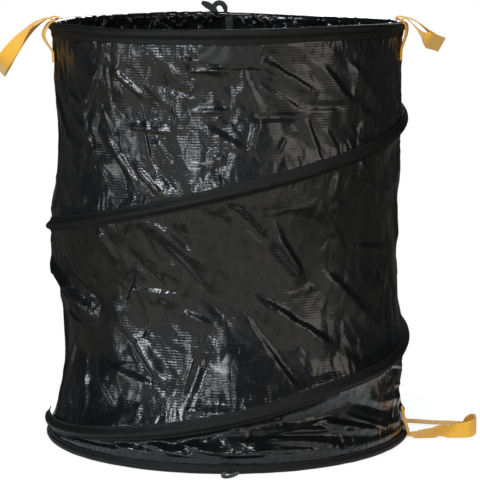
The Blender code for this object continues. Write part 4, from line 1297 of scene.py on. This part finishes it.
def loop_path(first_foot, last_foot, pull):
    """A cord from foot to foot, drawn out at its middle by drawn_share of the pull."""
    return span(first_foot, first_foot + pull, last_foot + pull, last_foot, 60)


left_foot, right_foot = loop_feet(Vector((0.0, 0.274, 0.6602)), -0.0150, 0.01075)
braid("rim_closure_loop", "top_closure_loop", "top_closure", loop_path(right_foot, left_foot, up * 0.0200),
      0.0045, 0.0026, rear)
tail_root = left_foot + Vector((0.0050, -0.0035, -0.0019))
tail_path = span(tail_root, *(tail_root + Vector((across, 0.0, rise)) for across, rise in (
    (-0.0045, 0.0085), (-0.0130, 0.0130), (-0.0240, 0.0180))), 30)
tail_taper = [0.8 + 0.2 * min(i / 9.0, 1.0) - 0.45 * max((i - 21) / 8.0, 0.0) for i in range(len(tail_path))]
tail = strap("rim_closure_tail", tail_path, [Vector((0.8, 0.0, 0.6))] * len(tail_path), 0.0115, 0.0026,
             elastic_black, tail_taper)
dress(tail, "top_closure", "top_closure_tail")

left_foot, right_foot = loop_feet(Vector((0.0, -0.2930, 0.0042)), 0.0080, 0.0095)
nose = Vector((-0.0120, -0.0250 / drawn_share, 0.0))
braid("base_closure_loop", "bottom_closure_loop", "bottom_closure", loop_path(left_foot, right_foot, nose),
      0.0031, 0.0026, up)

# %% The strap inside
strap_low, strap_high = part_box("closure_strap_inside")
inner_path = smooth_line([Vector((0.0015, strap_high[1] - 0.0040, strap_high[2])),
                          Vector((0.0015, strap_low[1] + 0.0010, strap_high[2] - 0.008)),
                          Vector((0.0015, strap_low[1] + 0.0040, strap_high[2] - 0.022)),
                          Vector((0.0015, strap_low[1] + 0.0032, strap_low[2]))], 8)
inner_strap = strap("closure_strap_end", inner_path, [Vector((1.0, 0.0, 0.0))] * len(inner_path),
                    0.012, 0.0016, elastic_black)
dress(inner_strap, "rim", "closure_strap_inside")

# %% [markdown]
# ## The hoops
# The two hoops and their crimped joints stay as they are, inside the hems. They only get their finish.

# %% Paint the hoops
for node, material in (("top_ring_wire", wire_steel), ("bottom_ring_wire", wire_steel),
                       ("top_ring_ferrule", crimp_zinc), ("bottom_ring_ferrule", crimp_zinc)):
    solid = frame["nodes"][node]
    solid.data.materials.clear()
    solid.data.materials.append(material)

# %% [markdown]
# ## Floor, backdrop and light
# The photograph has a white ground. A small floor that glows white to the camera keeps only a faint
# shadow. The film is a mirror for its surroundings, so what it mirrors matters more than usual. The
# gloss sees a studio of light and dark bands, warm below and cool above, which gives each facet a tone
# of its own. Small hard lamps at the left, in front and above make the bright creases, and a wide warm
# one leaves the right side calm.

# %% Floor
floor_radius, floor_drop = 0.43, -0.0005
floor_paint = bpy.data.materials.new("studio_floor")
floor_paint.use_nodes = True
floor_paint.node_tree.nodes.clear()
ground = Tree(floor_paint.node_tree)
is_camera = ground.node("ShaderNodeLightPath", output="Is Camera Ray")
seen = is_camera.maths("MAXIMUM", is_camera.also("Is Glossy Ray") * 0.3)
seen = seen.maths("MAXIMUM", is_camera.also("Is Transmission Ray")) * 0.82
shadow = ground.node("ShaderNodeBsdfDiffuse", {}, {"Color": colour((0.9, 0.9, 0.9))})
glow = ground.node("ShaderNodeEmission", {}, {"Color": white, "Strength": 1.08})
ground.node("ShaderNodeOutputMaterial", {}, [ground.node("ShaderNodeMixShader", {}, [seen, shadow, glow])])
bpy.ops.mesh.primitive_circle_add(vertices=96, radius=floor_radius, fill_type="NGON",
                                  location=(0.0, 0.0, floor_drop))
studio_floor = bpy.context.object
studio_floor.name = "studio_floor"
studio_floor.data.materials.append(floor_paint)

# %% World
world = bpy.data.worlds.new("studio")
bpy.context.scene.world = world
world.use_nodes = True
studio = Tree(world.node_tree)


def ramp(part, points):
    """A piecewise linear value over one part of a direction, taken from its -1 to 1 on to 0 to 1."""
    value = studio.node("ShaderNodeFloatCurve", {}, {"Value": part * 0.5 + 0.5})
    curve = value.socket.node
    line = curve.mapping.curves[0]
    line.points[0].location, line.points[1].location = points[0], points[-1]
    for point in points[1:-1]:
        line.points.new(*point)
    for point in line.points:
        point.handle_type = "VECTOR"
    curve.mapping.update()
    return value


x = studio.node("ShaderNodeSeparateXYZ", {}, [studio.node("ShaderNodeTexCoord", output="Generated")])
across = ramp(x, ((0.0, 0.8), (0.2, 1.1), (0.28, 0.55), (0.37, 1.15), (0.45, 0.65), (0.53, 1.1), (0.61, 0.6),
                  (0.7, 1.15), (0.82, 0.65), (1.0, 0.6)))
ahead = ramp(x.also("Y"), ((0.0, 1.0), (0.2, 1.0), (0.42, 0.42), (0.65, 0.16), (0.985, 0.06), (1.0, 0.9)))
level = ramp(x.also("Z"), ((0.0, 0.1), (0.14, 0.2), (0.24, 0.9), (0.29, 1.15), (0.345, 0.5), (0.39, 1.25),
                           (0.44, 0.85), (0.48, 0.55), (0.56, 0.45), (0.62, 0.13), (1.0, 0.13)))
above = ramp(x.also("Z"), ((0.0, 0.0), (0.42, 0.0), (0.48, 1.0), (1.0, 1.0)))
is_camera = studio.node("ShaderNodeLightPath", output="Is Camera Ray")
is_mirror = is_camera.also("Is Glossy Ray").maths("MAXIMUM", is_camera.also("Is Transmission Ray"))
bands = studio.mix(above, colour((1.0, 0.97, 0.88)), colour((0.86, 0.92, 1.0)))
back = world.node_tree.nodes["Background"]
studio.join(back.inputs["Color"], studio.mix(is_camera, bands, white))
studio.join(back.inputs["Strength"],
            studio.blend(is_camera, studio.blend(is_mirror, 0.6, ahead * (level * across)), 1.0))

# %% Lamps
# Name, place, height aimed at, width and height, watts and tint.
for name, place, aim, wide, tall, watts, tint in (
        ("left_lamp", (-1.9, -2.3, 1.7), 0.35, 0.22, 0.9, 44.0, (0.88, 0.94, 1.0)),
        ("front_lamp", (-0.8, -3.0, 0.85), 0.35, 0.34, 0.26, 14.0, (0.93, 0.96, 1.0)),
        ("side_lamp", (-2.6, -1.0, 0.30), 0.25, 0.20, 0.6, 5.5, (0.93, 0.96, 1.0)),
        ("top_lamp", (0.0, -1.0, 2.8), 0.4, 0.5, 0.4, 20.0, (1.0, 1.0, 1.0)),
        ("right_lamp", (2.2, -1.7, 0.9), 0.3, 1.5, 1.3, 14.0, (1.0, 0.95, 0.86)),
        ("rear_lamp", (0.3, 3.0, 1.7), 0.3, 0.8, 0.8, 26.0, (0.95, 0.97, 1.0))):
    light = bpy.data.lights.new(name, "AREA")
    light.shape = "RECTANGLE"
    light.size, light.size_y = wide, tall
    light.energy = watts
    light.color = tint
    lamp = bpy.data.objects.new(name, light)
    lamp.location = place
    lamp.rotation_euler = (Vector((0.0, 0.0, aim)) - Vector(place)).to_track_quat("-Z", "Y").to_euler()
    lamp.visible_camera = False
    bpy.context.scene.collection.objects.link(lamp)
